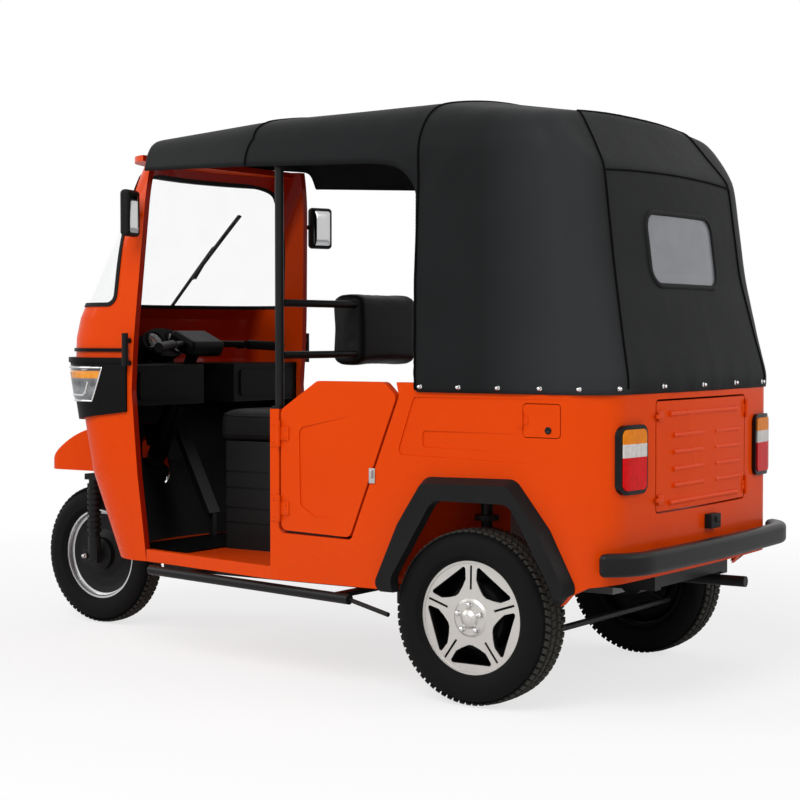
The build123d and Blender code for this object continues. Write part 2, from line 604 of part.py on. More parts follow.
# Pillar tubes, cross bars and the driver's backrest on the bars
BAR_R = TUBE_R - 2
pillar = rod((PILLAR_X, PILLAR_Y, POST_TOP), (PILLAR_X, PILLAR_Y, ROOF_EDGE + 24), TUBE_R)
pillar = pillar + block(POST_REAR + 2, POST_FRONT - 2, PILLAR_Y - 20, PILLAR_Y + 20, POST_TOP, POST_TOP + 8)
tubes = both(pillar).solids()
for z in (1026.0, 1190.0):
    reach = PILLAR_Y - TUBE_R - SKIN
    tubes = tubes + rod((PILLAR_X, -reach, z), (PILLAR_X, reach, z), BAR_R).solids()
pillar_tubes = Compound([*tubes])
pad_x = PILLAR_X + BAR_R + SKIN
driver_back = fillet(block(pad_x, pad_x + 92, -186, 186, 984, 1230).edges(), 32)

# Arched canopy sections: x, half width, top height, shoulder radius, crown radius
hood_half = BODY_HALF + SKIN + HOOD_T
hood_rear = REAR_FACE + SKIN + HOOD_T
ROOF_ROWS = [
    (ROOF_FRONT + 4, 455.0, 1750.0, 96.0, 2600.0),
    (1390.0, 478.0, 1782.0, 120.0, 2600.0),
    (840.0, 602.0, 1818.0, 150.0, 2600.0),
    (HOOD_FRONT, hood_half, 1828.0, 190.0, 2600.0),
]
CAP_ROWS = [
    ROOF_ROWS[-1],
    (-230.0, hood_half, 1760.0, 104.0, 5200.0),
    (-364.0, hood_half, 1574.0, 92.0, 5200.0),
    (-520.0, hood_half, 1562.0, 92.0, 5200.0),
]


def arch_loft(rows, inset, low):
    faces = []
    for x, half, top, shoulder, crown in rows:
        plane = Plane(origin=(x, 0, 0), x_dir=(0, 0, 1), z_dir=(1, 0, 0))
        faces.append(plane * bow_face(top - inset, half - inset, shoulder - inset, crown - inset, low))
    return loft(faces, ruled=True)


def front_round(inset):
    return Pos(ROOF_FRONT - ROOF_FRONT_R, 0, 1700) * Cylinder(ROOF_FRONT_R - inset, 800)


# Roof over the driver, rounded in plan at the front
inner_rows = [*ROOF_ROWS[:3], (HOOD_FRONT - 1, *ROOF_ROWS[3][1:])]
roof = arch_loft(ROOF_ROWS, 0, 1500) & front_round(0)
roof = roof - (arch_loft(inner_rows, HOOD_T, 1490) & front_round(HOOD_T))
ROOF_LINE = [
    (HOOD_FRONT - 5, 1400),
    (HOOD_FRONT - 5, 1520),
    (215, 1566),
    (262, 1594),
    (353, 1606),
    (PILLAR_X, 1616),
    (1500, 1648),
    (1500, 1400),
]
roof = roof - side_prism(ROOF_LINE)
header_room = block(FRONT_X - 700, FRONT_X - 400, -CAB_HALF + 24, CAB_HALF - 24, 1400, FRAME_TOP + SKIN)
roof = roof - header_room - cab_solid(SCREEN_ROWS, SKIN)

# Hood over the passengers: leaning walls meet the arched cap along the sewn seams
WALL_ROWS = [
    (HEM_Z, 0.0, 0.0),
    (BODY_TOP + 6, 0.0, 0.0),
    (1275.0, 74.0, 4.0),
    (SEAM_Z, 112.0, 8.0),
    (1860.0, 165.0, 12.0),
]


def wall_loft(inset, low, ahead):
    faces = []
    for z, lean, tuck in WALL_ROWS:
        end = hood_rear - lean - inset
        half = hood_half - tuck - inset
        outline = bow_face(end, half, REAR_CORNER - inset, REAR_CROWN - inset, -HOOD_FRONT - ahead)
        faces.append(Plane.XY.offset(z if z > HEM_Z else low) * mirror(outline, about=Plane.YZ))
    return loft(faces, ruled=True)


cap_inner_rows = [(HOOD_FRONT + 1, *CAP_ROWS[0][1:]), *CAP_ROWS[1:]]
hood = wall_loft(0, HEM_Z, 0) & arch_loft(CAP_ROWS, 0, 900)
hood = hood - (wall_loft(HOOD_T, HEM_Z - 10, 1) & arch_loft(cap_inner_rows, HOOD_T, 890))

# Rear window in the hood
WINDOW_HALF = 228.0
WINDOW_LOW = 1240.0
WINDOW_HIGH = 1452.0
window_points = [(-WINDOW_HALF, WINDOW_LOW), (WINDOW_HALF, WINDOW_LOW)]
window_points = window_points + [(WINDOW_HALF, WINDOW_HIGH), (-WINDOW_HALF, WINDOW_HIGH)]
window_face = face_of(window_points, 50)
pane_hole = front_prism(offset(window_face, -SKIN), -700, -200)
rear_window = (wall_loft(2, HEM_Z, 0) - wall_loft(6, HEM_Z - 10, 1)) & pane_hole
hood = hood - front_prism(window_face, -700, -200)

# Bows under the canopy: x, half width, top height, shoulder radius
BOW_R = 11.0
BOW_ROWS = [(HOOD_FRONT - 40, hood_half - 10, 1818.0, 182.0), (-222.0, hood_half - 11, 1754.0, 180.0)]
bows = []
for x, half, top, shoulder in BOW_ROWS:
    plane = Plane(origin=(x, 0, 0), x_dir=(0, 0, 1), z_dir=(1, 0, 0))
    out = HOOD_T + SKIN
    deep = out + 2 * BOW_R
    outer = bow_face(top - out, half - out, shoulder - out, 2600, BODY_TOP)
    inner = bow_face(top - deep, half - deep, shoulder - deep, 2600 - 2 * BOW_R, BODY_TOP - 5)
    bows = bows + extrude(plane * (outer - inner), 2 * BOW_R).solids()
hood_bows = Compound([*bows])

# Engine block and exhaust
ENGINE_HALF = 180.0
ENGINE_BACK = -250.0
MUFFLER_X = -310.0
engine = block(ENGINE_BACK, 110, -ENGINE_HALF, ENGINE_HALF, 300, 560)
engine = engine + block(-200, -140, -RAIL_IN, RAIL_IN, RAIL_LOW + KICK + 10, FLOOR_LOW + KICK - 10)
exhaust = rod((MUFFLER_X, -175, 348), (MUFFLER_X, 175, 348), 42)
exhaust = exhaust + rod((MUFFLER_X, -170, 322), (-532, -170, 322), 17)
exhaust = exhaust + block(MUFFLER_X, ENGINE_BACK, -20, 20, 335, 365)

# Trailing arms with springs, and the rod that ties them
SHAFT_R = 16.0
HUB_OUT = TRACK / 2 - REAR_TYRE_WIDTH / 2
ARM_Y = HUB_OUT - 62
arm_points = [(440, RAIL_OUT), (440, RAIL_OUT + 70), (60, ARM_Y + 36), (-60, ARM_Y + 36)]
arm_points = arm_points + [(-60, ARM_Y - 24), (60, ARM_Y - 24), (380, RAIL_OUT)]
trailing = plan_prism(arm_points, TYRE_RADIUS - 24, TYRE_RADIUS + 24)
trailing = trailing + rod((0, ARM_Y - 30, TYRE_RADIUS), (0, ARM_Y + 44, TYRE_RADIUS), 46)
trailing = trailing + rod((60, ARM_Y, TYRE_RADIUS), (60, ARM_Y, DECK_TOP - DECK_T - SKIN), 18)
for k in range(6):
    trailing = trailing + rod((60, ARM_Y, 320 + k * 42), (60, ARM_Y, 336 + k * 42), 38)
TIE_END = (-150.0, ARM_Y, 207.0)
trailing = trailing + rod((-40, ARM_Y, TYRE_RADIUS - 10), TIE_END, 9)
trailing = trailing - rod((0, 0, TYRE_RADIUS), (0, TRACK, TYRE_RADIUS), SHAFT_R + RUN)
tie = rod((TIE_END[0], -ARM_Y - 6, TIE_END[2]), (TIE_END[0], ARM_Y + 6, TIE_END[2]), 10)
rear_arms = trailing + mirrored(trailing) + tie

# Side steps below the sills, each with a stay behind
STEP_R = 16.0
STEP_ENDS = ((1336, 492, 296), (425, 612, 283))
step_tube = rod(*STEP_ENDS, STEP_R) + rod((440, 606, 284), (264, 638, 253), 7)
step_arms = block(500, 530, RAIL_OUT, 600, 274, 290) + block(1180, 1210, RAIL_OUT, 508, 281, 297)
step_arms = step_arms - rod(*STEP_ENDS, STEP_R + SKIN)
side_steps = both(Compound([*step_tube.solids(), *step_arms.solids()]))

# Mirrors turned in towards the driver, and grab handles
MIRROR_AT = (1380, 536, 1497)
MIRROR_TURN = 18.0
case = fillet(Box(36, 100, 156).edges(), 15)
case = case - Pos(-18, 0, 0) * extrude(Plane.YZ * RectangleRounded(80, 134, 12), 3)
side_mirror = Pos(*MIRROR_AT) * Rot(0, 0, MIRROR_TURN) * case
side_mirror = side_mirror + (rod((1388, 516, 1500), (1424, 462, 1500), 8) - cab_solid(SCREEN_ROWS, SKIN))
side_mirrors = both(side_mirror)
HANDLE_X = 1428.0
HANDLE_Y = 512.0
handle = rod((HANDLE_X, HANDLE_Y, 985), (HANDLE_X, HANDLE_Y, 1096), 11)
handle_foot = CAB_HALF + NOSE_ROWS[2][2] + SKIN
for z in (994, 1070):
    handle = handle + rod((HANDLE_X, HANDLE_Y, z), (HANDLE_X, handle_foot, z), 9)
grab_handles = both(handle)

# Steering fork: stem, yoke, gaitered struts and axle
YOKE_LOW = YOKE_TOP - YOKE_T
STRUT_X = FRONT_X - 25.0
STRUT_R = 20.0
GAITER_R = 26.0
STEM_TOP = HEAD_Z + 10
AXLE_R = 10.0
yoke_back = on_axis(YOKE_TOP)[0] - 40
yoke_half = SHOCK_Y + 22
yoke_points = [(yoke_back, 44), (STRUT_X - 30, yoke_half), (STRUT_X + 28, yoke_half)]
yoke_points = yoke_points + [(x, -y) for x, y in reversed(yoke_points)]
fork = on_stem(STEM_TOP, YOKE_TOP - 8, STEM_R) + on_stem(HEAD_LOW - 1, YOKE_TOP - 8, STEM_R + 12)
fork = fork + plan_prism(yoke_points, YOKE_LOW, YOKE_TOP)
for s in (-1, 1):
    y = s * SHOCK_Y
    fork = fork + rod((STRUT_X, y, YOKE_LOW + 2), (STRUT_X, y, 330), STRUT_R)
    fork = fork + rod((STRUT_X, y, 336), (STRUT_X, y, TYRE_RADIUS - 16), STRUT_R + 4)
    fork = fork + block(STRUT_X - 24, FRONT_X + 24, y - 14, y + 14, TYRE_RADIUS - 26, TYRE_RADIUS + 26)
    for k in range(9):
        fork = fork + rod((STRUT_X, y, 352 + k * 21), (STRUT_X, y, 365 + k * 21), GAITER_R)
fork = fork + rod((FRONT_X, -SHOCK_Y - 26, TYRE_RADIUS), (FRONT_X, SHOCK_Y + 26, TYRE_RADIUS), AXLE_R)

# Handlebar: pod, swept grips and levers
pod_seat = Plane(origin=on_axis(HEAD_Z), z_dir=axis_up)
handlebar = pod_seat * fillet(Box(120, 190, 60).edges(), 18)
for s in (-1, 1):
    handlebar = handlebar + rod((HEAD_X, s * 60, HEAD_Z), (HEAD_X - 70, s * 220, HEAD_Z - 4), 12)
    handlebar = handlebar + rod((HEAD_X - 66, s * 212, HEAD_Z - 4), (HEAD_X - 125, s * 350, HEAD_Z - 12), 17)
    handlebar = handlebar + rod((HEAD_X - 70, s * 196, HEAD_Z - 4), (HEAD_X - 26, s * 208, HEAD_Z - 6), 14)
    handlebar = handlebar + rod((HEAD_X - 28, s * 206, HEAD_Z - 6), (HEAD_X - 76, s * 344, HEAD_Z - 14), 6)
handlebar = handlebar - on_stem(STEM_TOP, HEAD_Z - 80, STEM_R + SKIN)


# Tyres and rims, revolved about the wheel axis from points of width and radius
def wheel_spin(points):
    return revolve(Plane.YZ * face_of(points), Axis.Y)


def tyre_solid(width, bulge):
    h = width / 2
    half = [
        (h - 22, RIM_RADIUS),
        (h - 4, RIM_RADIUS + 18),
        (h, RIM_RADIUS + 46),
        (h - 8, TYRE_RADIUS - 18),
        (h - 26, TYRE_RADIUS - bulge),
    ]
    return wheel_spin([(-y, r) for y, r in half] + [(0, TYRE_RADIUS)] + half[::-1])


def rim_ring(width):
    h = width / 2 - 22 - SKIN
    outer = RIM_RADIUS - SKIN
    inner = RIM_RADIUS - 11
    return wheel_spin([(-h, outer), (h, outer), (h, inner + 4), (h - 8, inner), (-h, inner)])


def polar(radius, angle):
    return (radius * cos(radians(angle)), radius * sin(radians(angle)))


# Rear wheel: five grooved star spokes, a domed hub and a brake drum
SPOKES = 5
SPOKE_OUT = 50.0
WINDOW_EDGE = [(80.0, 5.0), (94.0, 18.5), (114.0, 27.0), (156.0, 28.6)]
GROOVE_W = 7.0
rear_tyre = tyre_solid(REAR_TYRE_WIDTH, 5.0)
front_tyre = tyre_solid(FRONT_TYRE_WIDTH, 7.0)
window_side = [polar(r, a) for r, a in WINDOW_EDGE]
star_window = face_of(window_side + [(x, -z) for x, z in reversed(window_side)], 7)
rear_rim = rim_ring(REAR_TYRE_WIDTH)
DISC = [(26, 0), (SPOKE_OUT + 4, 0), (SPOKE_OUT, RIM_RADIUS - 8), (32, RIM_RADIUS - 8)]
rear_rim = rear_rim + wheel_spin(DISC)
for k in range(SPOKES):
    rear_rim = rear_rim - Rot(0, -54 - 72 * k, 0) * side_cut(star_window, -100, 100)
    groove = block(84, 154, SPOKE_OUT - 5, SPOKE_OUT + 20, -GROOVE_W / 2, GROOVE_W / 2)
    rear_rim = rear_rim - Rot(0, -90 - 72 * k, 0) * groove
HUB_CAP = [(-30, 0), (75, 0), (73, 14), (67, 25), (59, 31), (58, 50), (52, 58), (-30, 58)]
rear_rim = rear_rim + wheel_spin(HUB_CAP) + wheel_spin([(-48, 0), (26, 0), (26, 96), (-48, 110)])
rear_rim = rear_rim - rod((0, -80, 0), (0, -40, 0), SHAFT_R)
half_shaft = rod((0, ENGINE_HALF + SKIN, TYRE_RADIUS), (0, TRACK / 2 - 40, TYRE_RADIUS), SHAFT_R)

# Front wheel: a pressed steel dish with a brake drum
DISH = [(16.0, 0.0), (16.0, 60.0), (4.0, 92.0), (4.0, 128.0), (12.0, RIM_RADIUS - 8)]
front_rim = rim_ring(FRONT_TYRE_WIDTH)
front_rim = front_rim + wheel_spin(DISH + [(y - 14, r) for y, r in reversed(DISH)])
front_rim = front_rim + wheel_spin([(-46, 0), (46, 0), (46, 40), (38, 62), (-38, 62), (-46, 40)])
front_rim = front_rim - rod((0, -90, 0), (0, 90, 0), AXLE_R + RUN)

left_hub = Pos(0, TRACK / 2, TYRE_RADIUS)
front_hub = Pos(FRONT_X, 0, TYRE_RADIUS)

NODES = {
    "nose_cowl": nose,
    "windscreen_frame": frame,
    "windscreen_seal": seal,
    "windscreen_glass": glass,
    "wiper": wiper,
    "lamp_panels": lamp_panels,
    "headlamps": both(headlamp),
    "front_mudguard": mudguard,
    "dashboard": dash,
    "steering_head": steering_head,
    "floor_pan": floor_pan,
    "brake_pedal": pedal,
    "footwell_liner": footwell_liner,
    "side_panel_left": side_left,
    "side_panel_right": side_right,
    "rear_panel": rear_panel,
    "arch_flares": arch_flares,
    "door_left": door_left,
    "door_right": door_right,
    "fuel_flap": fuel_flap,
    "rear_hatch": hatch,
    "tail_bezels": tail_bezels,
    "tail_lamps": tail_lamps,
    "rear_bumper": rear_bumper,
    "chassis_rails": chassis_rails,
    "bench_box": bench_box,
    "bench_cushion": bench_cushion,
    "bench_backrest": bench_back,
    "driver_seat_box": seat_box,
    "driver_cushion": driver_cushion,
    "driver_backrest": driver_back,
    "pillar_tubes": pillar_tubes,
    "canopy_roof": roof,
    "canopy_hood": hood,
    "rear_window": rear_window,
    "hood_bows": hood_bows,
    "engine_block": engine,
    "exhaust": exhaust,
    "rear_arms": rear_arms,
    "side_steps": side_steps,
    "side_mirrors": side_mirrors,
    "grab_handles": grab_handles,
    "steering_fork": fork,
    "handlebar": handlebar,
    "front_tyre": front_hub * front_tyre,
    "front_rim": front_hub * front_rim,
    "rear_tyre_left": left_hub * rear_tyre,
    "rear_rim_left": left_hub * rear_rim,
    "half_shaft_left": half_shaft,
    "rear_tyre_right": mirrored(left_hub * rear_tyre),
    "rear_rim_right": mirrored(left_hub * rear_rim),
    "half_shaft_right": mirrored(half_shaft),
}
os.makedirs("parts", exist_ok=True)
for name, shape in NODES.items():
    export_step(Pos(SHIFT_X, 0, 0) * shape, "parts/" + name + ".step")
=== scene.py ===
# %% [markdown]
# # A three-wheeled taxi, dressed in Blender
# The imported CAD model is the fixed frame: every wheel, panel and hinge is already in place and in
# metres. This lesson adds what metal drawings leave out: paint, vinyl, rubber, stitching, studs,
# lamps and tread. +X is forward, +Y is the vehicle's left and +Z is up, and the ground is at zero.

# %% Load the frame
import math
import bmesh
import bpy
from mathutils import Matrix, Vector
from mathutils.bvhtree import BVHTree


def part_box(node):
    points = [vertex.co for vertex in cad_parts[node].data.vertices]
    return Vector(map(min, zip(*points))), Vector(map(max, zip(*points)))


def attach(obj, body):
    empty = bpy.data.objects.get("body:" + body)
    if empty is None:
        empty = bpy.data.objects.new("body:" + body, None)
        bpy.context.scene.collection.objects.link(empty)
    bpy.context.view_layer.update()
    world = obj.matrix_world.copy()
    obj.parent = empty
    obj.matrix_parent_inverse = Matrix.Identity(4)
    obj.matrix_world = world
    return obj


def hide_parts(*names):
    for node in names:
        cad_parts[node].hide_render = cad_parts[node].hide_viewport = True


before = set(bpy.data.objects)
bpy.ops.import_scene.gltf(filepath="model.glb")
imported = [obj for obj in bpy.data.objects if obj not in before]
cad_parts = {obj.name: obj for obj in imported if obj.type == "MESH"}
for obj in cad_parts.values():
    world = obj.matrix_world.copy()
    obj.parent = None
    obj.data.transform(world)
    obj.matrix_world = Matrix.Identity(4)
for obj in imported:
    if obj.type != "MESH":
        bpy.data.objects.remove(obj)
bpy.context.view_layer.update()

# %% [markdown]
# ## Camera
# The photograph was taken from behind and to the left, a little above waist height, with a fairly
# long lens. The place, aim and lens below come from matching points on the wheels and body, so shapes
# fall where the photograph shows them.

# %% Camera
REAR_AXLE_X, WHEELBASE = -0.858, 2.0
EYE = Vector((-2.8162 + REAR_AXLE_X, 5.1607, 1.0890))
YAW, PITCH, LENS = -0.9793, 0.0353, 82.74
camera = bpy.data.objects.new("camera", bpy.data.cameras.new("camera"))
bpy.context.scene.collection.objects.link(camera)
aim = Vector((math.cos(YAW) * math.cos(PITCH), math.sin(YAW) * math.cos(PITCH), -math.sin(PITCH)))
camera.location = EYE
camera.rotation_euler = aim.to_track_quat("-Z", "Y").to_euler()
camera.data.lens = LENS
camera.data.sensor_width = 36.0
camera.data.clip_end = 60.0
bpy.context.scene.camera = camera
print("camera looks along", [round(v, 3) for v in aim])

# %% [markdown]
# ## Shader maths as plain expressions
# A material is a small program. Wrapping a socket in a class lets the script write `1 - mask * 0.3`
# and get the Math nodes for it. Any other node comes from one method, which sets the node's options
# first and then its sockets.

# %% The wrapper
class Wire:
    """One output in a node tree. Arithmetic on it adds Math nodes."""

    def __init__(self, tree, socket=None):
        self.tree = tree
        self.socket = socket

    def node(self, kind, settings=None, inputs=None, output=0):
        made = self.tree.nodes.new(kind)
        for key, value in (settings or {}).items():
            if key == "stops":
                ramp = made.color_ramp
                while len(ramp.elements) < len(value):
                    ramp.elements.new(0.5)
                for element, (at, colour) in zip(ramp.elements, value):
                    element.position = at
                    element.color = colour
            else:
                setattr(made, key, value)
        for key, value in (inputs or {}).items():
            if isinstance(value, Wire):
                self.tree.links.new(value.socket, made.inputs[key])
            else:
                made.inputs[key].default_value = value
        return Wire(self.tree, made.outputs[output] if len(made.outputs) else None)

    def maths(self, operation, a, b=0.0, clamp=False):
        return self.node("ShaderNodeMath", {"operation": operation, "use_clamp": clamp}, {0: a, 1: b})

    def __add__(self, other):
        return self.maths("ADD", self, other)

    def __radd__(self, other):
        return self.maths("ADD", other, self)

    def __sub__(self, other):
        return self.maths("SUBTRACT", self, other)

    def __rsub__(self, other):
        return self.maths("SUBTRACT", other, self)

    def __mul__(self, other):
        return self.maths("MULTIPLY", self, other)

    def __rmul__(self, other):
        return self.maths("MULTIPLY", other, self)

    def __truediv__(self, other):
        return self.maths("DIVIDE", self, other)

    def clamp(self):
        return self.maths("ADD", self, 0.0, clamp=True)

    def step(self, edge, soft):
        """0 below the edge and 1 above it, over a soft width."""
        return ((self - edge) / soft + 0.5).clamp()

    def mix(self, low, high):
        """A colour between two, by this value."""
        return self.node("ShaderNodeMix", {"data_type": "RGBA"}, {"Factor": self, 6: low, 7: high}, 2)


def place(wire):
    return wire.node("ShaderNodeTexCoord", output="Object")


def noise(wire, scale, detail=3.0, rough=0.55):
    inputs = {"Vector": place(wire), "Scale": scale, "Detail": detail, "Roughness": rough}
    return wire.node("ShaderNodeTexNoise", None, inputs)


def cells_of(wire, scale):
    """The distance to the edges of small cells, as in an emboss."""
    inputs = {"Vector": place(wire), "Scale": scale}
    return wire.node("ShaderNodeTexVoronoi", {"feature": "DISTANCE_TO_EDGE"}, inputs)


def axis_of(wire, index, where=None):
    return wire.node("ShaderNodeSeparateXYZ", None, {"Vector": where or place(wire)}, index)


def bump(wire, height, strength, distance, under=None):
    """A bump, on top of another one where that is given."""
    inputs = {"Height": height, "Strength": strength, "Distance": distance}
    if under:
        inputs["Normal"] = under
    return wire.node("ShaderNodeBump", None, inputs)


def grey(value):
    return (value, value, value, 1.0)


def finish_of(name, constants, recipe=None):
    """A Principled material. The recipe gets a wire and returns what varies over the surface."""
    material = bpy.data.materials.new(name)
    material.use_nodes = True
    shader = material.node_tree.nodes["Principled BSDF"]
    for socket, value in constants.items():
        shader.inputs[socket].default_value = value
    if recipe:
        for socket, wire in recipe(Wire(material.node_tree)).items():
            material.node_tree.links.new(wire.socket, shader.inputs[socket])
    return material


print("shader helpers ready")

# %% [markdown]
# ## Studio
# A pale floor catches a soft shadow, and a plain white world fills the view. Light comes from one
# broad lamp above the left side and a weaker one behind, so the flat body sides keep a soft gradient,
# as under an overcast sky.

# %% Floor, world and lamps
scene = bpy.context.scene
scene.view_settings.view_transform = "Standard"
FLOOR_HALF, FLOOR_DROP = 30.0, 0.002
FLOOR_FADE = {"From Min": 1.6, "From Max": 4.5, "To Min": 0.72, "To Max": 1.0}
SKY, SKY_STRENGTH = (0.95, 0.97, 1.0, 1.0), 0.42


def link(obj):
    scene.collection.objects.link(obj)
    return obj


def raw_mesh(name, points, faces, edges=()):
    mesh = bpy.data.meshes.new(name)
    mesh.from_pydata([tuple(p) for p in points], list(edges), faces)
    return mesh


floor_corners = [(x * FLOOR_HALF, y * FLOOR_HALF, 0) for x, y in ((-1, -1), (1, -1), (1, 1), (-1, 1))]
floor_mesh = raw_mesh("studio_floor", floor_corners, [(0, 1, 2, 3)])
studio_floor = link(bpy.data.objects.new("studio_floor", floor_mesh))
studio_floor.location.z = -FLOOR_DROP
floor_finish = bpy.data.materials.new("studio_floor")
floor_finish.use_nodes = True
floor_finish.node_tree.nodes.clear()
floor = Wire(floor_finish.node_tree)
matt = floor.node("ShaderNodeBsdfPrincipled", None, {"Base Color": grey(0.90), "Roughness": 0.9})
bright_floor = floor.node("ShaderNodeEmission")
distance = floor.node("ShaderNodeVectorMath", {"operation": "LENGTH"}, {0: place(floor)}, "Value")
fade = floor.node("ShaderNodeMapRange", None, {"Value": distance, **FLOOR_FADE})
seen = floor.node("ShaderNodeLightPath", output="Is Camera Ray") * fade
floor_blend = floor.node("ShaderNodeMixShader", None, {"Fac": seen, 1: matt, 2: bright_floor})
floor.node("ShaderNodeOutputMaterial", None, {"Surface": floor_blend})
floor_mesh.materials.append(floor_finish)

world = bpy.data.worlds.new("studio")
scene.world = world
world.use_nodes = True
world.node_tree.nodes.clear()
sky = Wire(world.node_tree)
direct = sky.node("ShaderNodeLightPath", output="Is Camera Ray")
for ray in ("Is Glossy Ray", "Is Transmission Ray"):
    direct = sky.maths("MAXIMUM", direct, sky.node("ShaderNodeLightPath", output=ray))
ambient = sky.node("ShaderNodeBackground", None, {"Color": SKY, "Strength": SKY_STRENGTH})
white = sky.node("ShaderNodeBackground", None, {"Color": grey(1.0), "Strength": 1.0})
sky_blend = sky.node("ShaderNodeMixShader", None, {"Fac": direct, 1: ambient, 2: white})
sky.node("ShaderNodeOutputWorld", None, {"Surface": sky_blend})


def lamp(name, place, aim_at, size, watts):
    data = bpy.data.lights.new(name, "AREA")
    data.shape = "DISK"
    data.size = size
    data.energy = watts
    obj = link(bpy.data.objects.new(name, data))
    obj.location = place
    obj.rotation_euler = (Vector(aim_at) - Vector(place)).to_track_quat("-Z", "Y").to_euler()
    return obj


lamp("key", (-1.5, 5.5, 5.5), (0.0, 0.0, 0.8), 4.0, 300.0)
lamp("rear_fill", (-6.0, -1.0, 3.5), (-0.6, 0.0, 0.9), 3.0, 90.0)
lamp("front_fill", (5.0, 3.0, 3.5), (0.6, 0.0, 0.9), 3.0, 80.0)
print("lamps: 3")

# %% [markdown]
# ## Finishes of the hard parts
# The body is pressed sheet with glossy orange paint: a clear coat over a colour that drifts a little,
# with a faint orange-peel ripple and fine dust low down. Faces that look back from the nose are the
# cab's inside, and their deep red is painted shade. The plastics are moulded with a fine grain, and
# bare metal is brushed or cast. Every finish reads Object coordinates, so its grain has the same size
# on a small hinge as on a door.

# %% Paint
ORANGE_LOW, ORANGE_HIGH = (0.66, 0.049, 0.0016, 1.0), (0.73, 0.062, 0.0024, 1.0)
CAB_SHADE_RED, ROAD_DUST = (0.30, 0.010, 0.0010, 1.0), (0.40, 0.058, 0.010, 1.0)


def body_paint(wire):
    drift = noise(wire, 2.3)
    peel = noise(wire, 420.0, 2.0)
    low = axis_of(wire, 2).step(0.42, 0.5)
    speck = noise(wire, 90.0, 5.0, 0.7).step(0.62, 0.2) * (1 - low)
    # Faces looking back from the nose, inside the cab, are mixed to a deep red: painted shade of the cab's
    # inside.
    facing = axis_of(wire, 0, wire.node("ShaderNodeTexCoord", output="Normal"))
    inside = (1 - facing.step(-0.25, 0.30)) * axis_of(wire, 0).step(0.30, 0.05)
    colour = inside.mix(drift.mix(ORANGE_LOW, ORANGE_HIGH), CAB_SHADE_RED)
    return {
        "Base Color": (speck * 0.35).mix(colour, ROAD_DUST),
        "Roughness": 0.24 + drift * 0.08 + speck * 0.25,
        "Normal": bump(wire, peel, 0.05, 0.0004),
    }


def coated(weight, rough, level):
    """Constants of a surface under a clear coat."""
    return {"Coat Weight": weight, "Coat Roughness": rough, "Specular IOR Level": level}


PAINT = finish_of("orange_paint", coated(0.10, 0.05, 0.03), body_paint)
print("paint ready")

# %% [markdown]
# Black parts are the hardest to tell apart, so each has its own surface: powder coat has a pebbled
# skin, moulded plastic a finer grain with a greyer worn tone, rubber is dull with a dusty bloom, and
# vinyl carries a leather-like emboss.

# %% Black plastics, metal and rubber
def grained(name, constants, dark, light, rough, size, depth):
    """A grey finish with slow patches, and a grain of a given fineness and depth."""
    def recipe(wire):
        patch = noise(wire, 6.0, 4.0)
        return {
            "Base Color": patch.mix(grey(dark), grey(light)),
            "Roughness": rough + patch * 0.16,
            "Normal": bump(wire, noise(wire, size, 2.0), 0.35, depth),
        }
    return finish_of(name, constants, recipe)


def shine(level):
    return {"Specular IOR Level": level}


DULL, METAL = shine(0.09), {"Metallic": 1.0}
PLASTIC = grained("moulded_plastic", DULL, 0.0065, 0.0125, 0.40, 900.0, 0.0005)
POWDER = grained("powder_coat", shine(0.14), 0.0065, 0.0115, 0.30, 520.0, 0.0006)
RUBBER = grained("seal_rubber", DULL, 0.007, 0.012, 0.55, 700.0, 0.0003)
GLOSS_BLACK = grained("gloss_black", shine(0.20), 0.003, 0.006, 0.12, 300.0, 0.0001)
# Satin black is darker than the moulded plastic: painted shade for the dash, footwell and steering in the cab.
SHADE_DARK_SATIN = grained("shade_dark_satin_black", shine(0.06), 0.0022, 0.0048, 0.34, 800.0, 0.0004)
CHROME = grained("bright_trim", METAL, 0.62, 0.74, 0.10, 300.0, 0.0001)
MIRROR = grained("mirror_glass", METAL, 0.50, 0.56, 0.03, 20.0, 0.0001)
CASTING = grained("cast_metal", {"Metallic": 0.85}, 0.16, 0.26, 0.45, 260.0, 0.0009)
STEEL = grained("plain_steel", METAL, 0.42, 0.55, 0.26, 800.0, 0.0002)
TRACK_HALF, HUB_Z = 0.545, 0.261
TREAD_FROM = 0.2535


def wheel_radius(wire, hub_x):
    where = place(wire)
    across = axis_of(wire, 0, where) - hub_x
    up = axis_of(wire, 2, where) - HUB_Z
    return wire.maths("SQRT", across * across + up * up)


def tyre_rubber(wire):
    dust = noise(wire, 14.0, 5.0, 0.65)
    skin = noise(wire, 600.0, 2.0)
    rear, front = (wheel_radius(wire, hub_x) for hub_x in (REAR_AXLE_X, REAR_AXLE_X + WHEELBASE))
    wall = dust.mix(grey(0.0035), grey(0.0075))
    running = dust.mix((0.016, 0.0155, 0.014, 1.0), (0.055, 0.053, 0.045, 1.0))
    return {
        "Base Color": wire.maths("MINIMUM", rear, front).step(TREAD_FROM, 0.002).mix(wall, running),
        "Roughness": 0.62 + dust * 0.25,
        "Normal": bump(wire, skin, 0.25, 0.0004),
    }


TYRE = finish_of("tyre_rubber", DULL, tyre_rubber)
print("black finishes ready")

# %% [markdown]
# The rear wheels are cast alloy painted dark, with the outer faces turned bright on a lathe. The
# bright skin depends only on how far out a point is, so one mask on the distance from the wheel's
# middle plane paints both, and fine rings across it are the tool marks.

# %% Wheels
FACE_OUT = 0.0475


